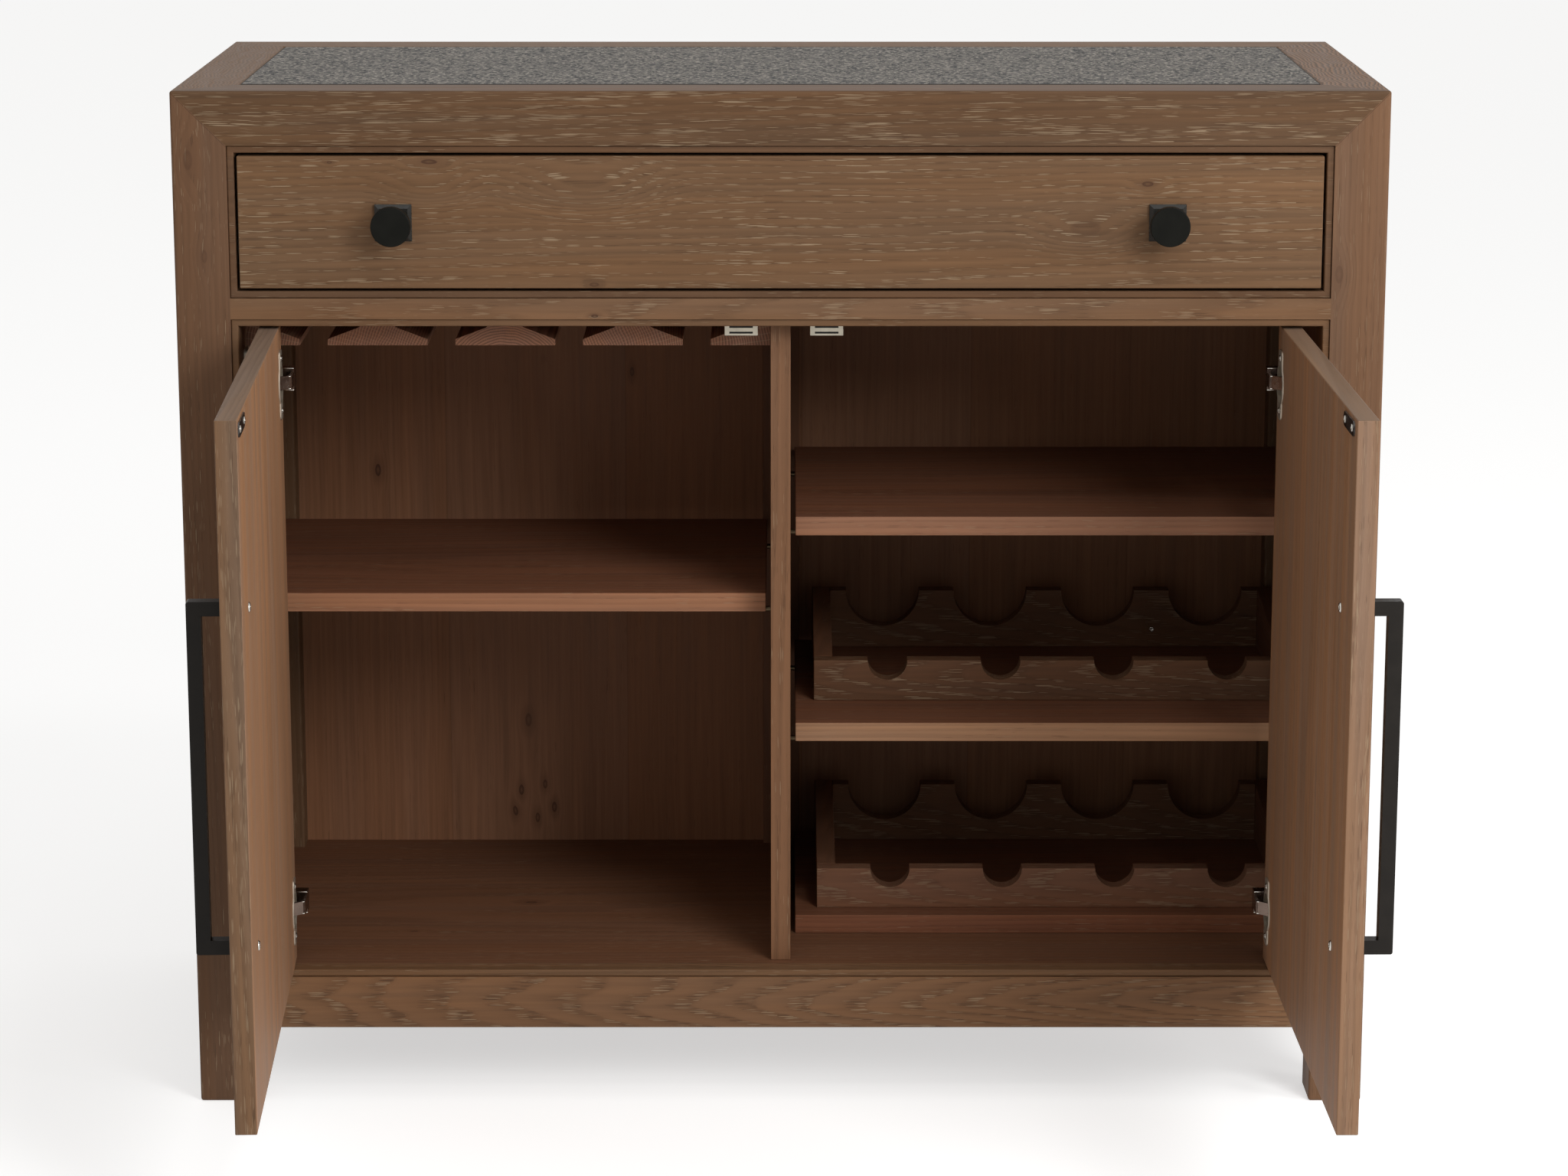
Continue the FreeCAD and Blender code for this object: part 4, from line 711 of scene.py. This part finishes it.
def finishPiece(shape, name, material, body, smoothSteps=0):
    mesh = bpy.data.meshes.new(name)
    shape.to_mesh(mesh)
    shape.free()
    for face in mesh.polygons:
        face.use_smooth = True
    mesh.materials.append(material)
    piece = bpy.data.objects.new(name, mesh)
    bpy.context.scene.collection.objects.link(piece)
    if smoothSteps:
        smoother = piece.modifiers.new("smoother", "SUBSURF")
        smoother.levels = smoothSteps
        smoother.render_levels = smoothSteps
    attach(piece, body)
    return piece


def addTo(shape, own, seat, axis):
    # turns a small shape's Z onto the axis, stands it on its seat and adds it to the piece
    turn = axis.to_track_quat("Z", "Y").to_matrix().to_4x4()
    bmesh.ops.transform(own, matrix=Matrix.Translation(seat) @ turn, verts=own.verts)
    scratch = bpy.data.meshes.new("scratch")
    own.to_mesh(scratch)
    own.free()
    shape.from_mesh(scratch)
    bpy.data.meshes.remove(scratch)


# the head's rings are shares of its radius and of its rise, and the shank's are shares of its length
screwShape = {"recessReach": 0.55, "recessAngle": 15.0,
              "headRings": ((0.80, 0.92), (1.0, 0.25), (1.0, 0.0)), "neck": 0.15,
              "shankShare": 0.45, "straightShare": 0.6, "tipShare": 0.08, "endBand": 0.0003}


def addScrew(shape, seat, axis, look):
    # a low domed head with a cross recess, on a tapered shank
    own = bmesh.new()
    reach = look["headRadius"] * screwShape["recessReach"]
    bmesh.ops.create_grid(own, x_segments=3, y_segments=3, size=reach)
    slotHalf = reach * math.tan(math.radians(screwShape["recessAngle"]))
    for corner in own.verts:
        for side in (0, 1):
            if abs(corner.co[side]) < reach / 2:
                corner.co[side] = math.copysign(slotHalf, corner.co[side])
        corner.co.z = look["headRise"]
    rims = [edge for edge in own.edges if edge.is_boundary]
    cross = [face for face in own.faces
             if min(abs(face.calc_center_median().x), abs(face.calc_center_median().y)) < slotHalf / 2]
    longer = look["length"] / look["headRise"]
    rings = [*screwShape["headRings"], (screwShape["shankShare"], -screwShape["neck"]),
             (screwShape["shankShare"], -screwShape["straightShare"] * longer),
             (screwShape["tipShare"], -longer)]
    for share, height in rings:
        grown = bmesh.ops.extrude_edge_only(own, edges=rims)["geom"]
        corners = [item for item in grown if isinstance(item, bmesh.types.BMVert)]
        rims = [item for item in grown if isinstance(item, bmesh.types.BMEdge)]
        for corner in corners:
            flat = Vector((corner.co.x, corner.co.y, 0)).normalized() * look["headRadius"] * share
            corner.co = Vector((flat.x, flat.y, look["headRise"] * height))
    bmesh.ops.contextual_create(own, geom=rims)
    sunk = bmesh.ops.extrude_face_region(own, geom=cross)["geom"]
    bmesh.ops.delete(own, geom=cross, context="FACES_ONLY")
    deep = [item for item in sunk if isinstance(item, bmesh.types.BMVert)]
    bmesh.ops.translate(own, verts=deep, vec=(0, 0, -look["recess"]))
    bmesh.ops.recalc_face_normals(own, faces=own.faces)
    addTo(shape, own, seat, axis)


def screwsFor(name, newName, axis, body, look):
    # one screw in the place of each of the node's solids
    axis = Vector(axis).normalized()
    shape = bmesh.new()
    for solid in solidsOf(name):
        top = max(corner.dot(axis) for corner in solid)
        headEnd = [corner for corner in solid if corner.dot(axis) > top - screwShape["endBand"]]
        middle = sum(headEnd, Vector()) / len(headEnd)
        addScrew(shape, middle - axis * look["headThick"], axis, look)
    piece = finishPiece(shape, newName, screwSteel, body, smoothSteps=screwSteps)
    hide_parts(name)


doorTurns = {"left": -87.5, "right": 90.9}   # degrees from shut to where the doors stand open
woodScrewLook = {"headRadius": 0.0034, "headRise": 0.0010, "headThick": 0.0016, "recess": 0.0007,
                 "length": 0.0110}
handleScrewLook = {"headRadius": 0.0045, "headRise": 0.0016, "headThick": -0.0006, "recess": 0.0010,
                   "length": 0.0250}         # its head stands on the door
knobScrewLook = {**handleScrewLook, "headRadius": 0.0041, "headThick": 0.0024}
for hand, degrees in doorTurns.items():
    swing = math.radians(degrees)
    inward = (-math.sin(swing), math.cos(swing), 0)
    screwsFor(f"{hand}_door_screws", f"{hand}_hinge_and_strike_screws", inward, f"{hand}_leaf",
              woodScrewLook)
    screwsFor(f"{hand}_handle_screws", f"{hand}_handle_machine_screws", inward, f"{hand}_leaf",
              handleScrewLook)
screwsFor("knob_screws", "knob_machine_screws", (0, 1, 0), "drawer_box", knobScrewLook)

# the pressed steel arms have rolled edges, which catch the light
armLook = {"rim": 0.0005, "bladeRim": 0.0004, "bladeHalf": 0.0056, "elbowWidth": 0.0120,
           "elbowDepth": 0.0140, "rodSides": 12, "rodRound": 0.6,
           "bladePath": ((0.0105, 0.0378), (0.0030, 0.0316), (0.0008, 0.0312))}   # in from tip and back


def addRod(shape, start, end, radius):
    own = bmesh.new()
    way = end - start
    bmesh.ops.create_cone(own, cap_ends=True, segments=armLook["rodSides"], radius1=radius,
                          radius2=radius, depth=way.length)
    rims = [edge for edge in own.edges if abs(edge.verts[0].co.z - edge.verts[1].co.z) < radius / 10]
    bmesh.ops.bevel(own, geom=rims, offset=radius * armLook["rodRound"], affect="EDGES", segments=3,
                    profile=0.5, material=-1)
    addTo(shape, own, (start + end) / 2, way)


edges = bmesh.new()
for solid in solidsOf("hinge_arms"):
    lowX, highX = min(corner.x for corner in solid), max(corner.x for corner in solid)
    lowZ, highZ = min(corner.z for corner in solid), max(corner.z for corner in solid)
    back = max(corner.y for corner in solid)
    side = 1 if highX < 0 else -1            # the arm reaches from its plate towards the middle
    tip = highX if side > 0 else lowX
    middle = (lowZ + highZ) / 2
    elbowFront = back - armLook["elbowDepth"]
    for height in (highZ, lowZ):
        addRod(edges, Vector((tip - side * armLook["elbowWidth"], elbowFront, height)),
               Vector((tip, elbowFront, height)), armLook["rim"])
    for height in (middle + armLook["bladeHalf"], middle - armLook["bladeHalf"]):
        path = [Vector((tip - side * across, back - deep, height)) for across, deep in armLook["bladePath"]]
        for start, end in zip(path, path[1:]):
            addRod(edges, start, end, armLook["bladeRim"])
finishPiece(edges, "hinge_rolled_edges", brightNickel, "case")

# one screw that shows in the front of the upper rack's rear board
rackScrewLook = {"headRadius": 0.0028, "headRise": 0.0009, "recess": 0.0006, "length": 0.0120,
                 "across": 0.366, "height": 0.359}
rackScrew = bmesh.new()
addScrew(rackScrew, Vector((rackScrewLook["across"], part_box("upper_rack_rear")[0][1],
                            rackScrewLook["height"])), Vector((0, -1, 0)), rackScrewLook)
finishPiece(rackScrew, "rack_screw", screwSteel, "case", smoothSteps=screwSteps)
print("small pieces made")


# studio: a pale floor, soft lamps and the camera

def straightSight(tree):
    # 1 where the eye, a reflection or something clear looks at it, and 0 where it only gives light
    paths = put(tree, "ShaderNodeLightPath").outputs
    return most(tree, (paths["Is Glossy Ray"], paths["Is Transmission Ray"], paths["Is Camera Ray"]))


floorLook = {"size": 40.0, "colour": (0.8, 0.8, 0.8, 1), "glow": 0.58}
bpy.ops.mesh.primitive_plane_add(size=floorLook["size"], location=(0, 0, cadBounds[0][2]))
floor = bpy.context.object
floor.name = "studio_floor"
floorPaint, floorTree = startMaterial("floor_paint")
glow = calc(floorTree, "MULTIPLY", straightSight(floorTree), floorLook["glow"])
floorDiffuse = put(floorTree, "ShaderNodeBsdfDiffuse", {"Color": floorLook["colour"]}).outputs[0]
floorGlow = put(floorTree, "ShaderNodeEmission", {"Color": (1, 1, 1, 1), "Strength": glow}).outputs[0]
floorMix = put(floorTree, "ShaderNodeAddShader", {0: floorDiffuse, 1: floorGlow}).outputs[0]
floorOut = put(floorTree, "ShaderNodeOutputMaterial")
floorTree.links.new(floorMix, floorOut.inputs[0])
floor.data.materials.append(floorPaint)

scene = bpy.context.scene
worldLook = {"ambient": 0.42, "tint": (1.0, 0.99, 0.97, 1)}
world = bpy.data.worlds.new("studio")
world.use_nodes = True
worldTree = world.node_tree
worldTree.nodes.clear()
softLight = put(worldTree, "ShaderNodeBackground", {"Color": worldLook["tint"],
                                                   "Strength": worldLook["ambient"]}).outputs[0]
white = put(worldTree, "ShaderNodeBackground", {"Color": (1, 1, 1, 1), "Strength": 1.0}).outputs[0]
worldMix = put(worldTree, "ShaderNodeMixShader", {0: straightSight(worldTree), 1: softLight,
                                                  2: white}).outputs[0]
worldOut = put(worldTree, "ShaderNodeOutputWorld")
worldTree.links.new(worldMix, worldOut.inputs[0])
scene.world = world

lampLooks = {                      # level: how bright it makes a plain surface that faces it
    "key_lamp": {"turn": 20.7, "lift": 49.4, "level": 0.08, "size": 0.6},
    "right_lamp": {"turn": 35.0, "lift": 25.0, "level": 0.40, "size": 1.6},
    "side_lamp": {"turn": 65.0, "lift": 10.0, "level": 0.20, "size": 1.2},
    "top_lamp": {"turn": 0.0, "lift": 75.0, "level": 0.05, "size": 2.0},
}
lampAim = Vector((0, 0.1, 0.5))
lampDistance = 4.2
for lampName, lampLook in lampLooks.items():
    turn = math.radians(lampLook["turn"])
    lift = math.radians(lampLook["lift"])
    away = Vector((math.sin(turn) * math.cos(lift), -math.cos(turn) * math.cos(lift), math.sin(lift)))
    lampData = bpy.data.lights.new(lampName, "AREA")
    lampData.shape = "DISK"
    lampData.size = lampLook["size"]
    lampData.energy = lampLook["level"] * math.pi ** 2 * lampDistance ** 2
    lamp = bpy.data.objects.new(lampName, lampData)
    lamp.location = lampAim + away * lampDistance
    lamp.rotation_euler = away.to_track_quat("Z", "Y").to_euler()
    lamp.visible_camera = False
    scene.collection.objects.link(lamp)

cameraLook = {"place": (0.0031, -3.702, 1.320), "down": 12.725, "lens": 97.32}
cameraData = bpy.data.cameras.new("front_camera")
cameraData.lens = cameraLook["lens"]
camera = bpy.data.objects.new("front_camera", cameraData)
camera.location = cameraLook["place"]
camera.rotation_euler = (math.radians(90 - cameraLook["down"]), 0, 0)
scene.collection.objects.link(camera)
scene.camera = camera
scene.view_settings.view_transform = "Standard"
print("studio set")
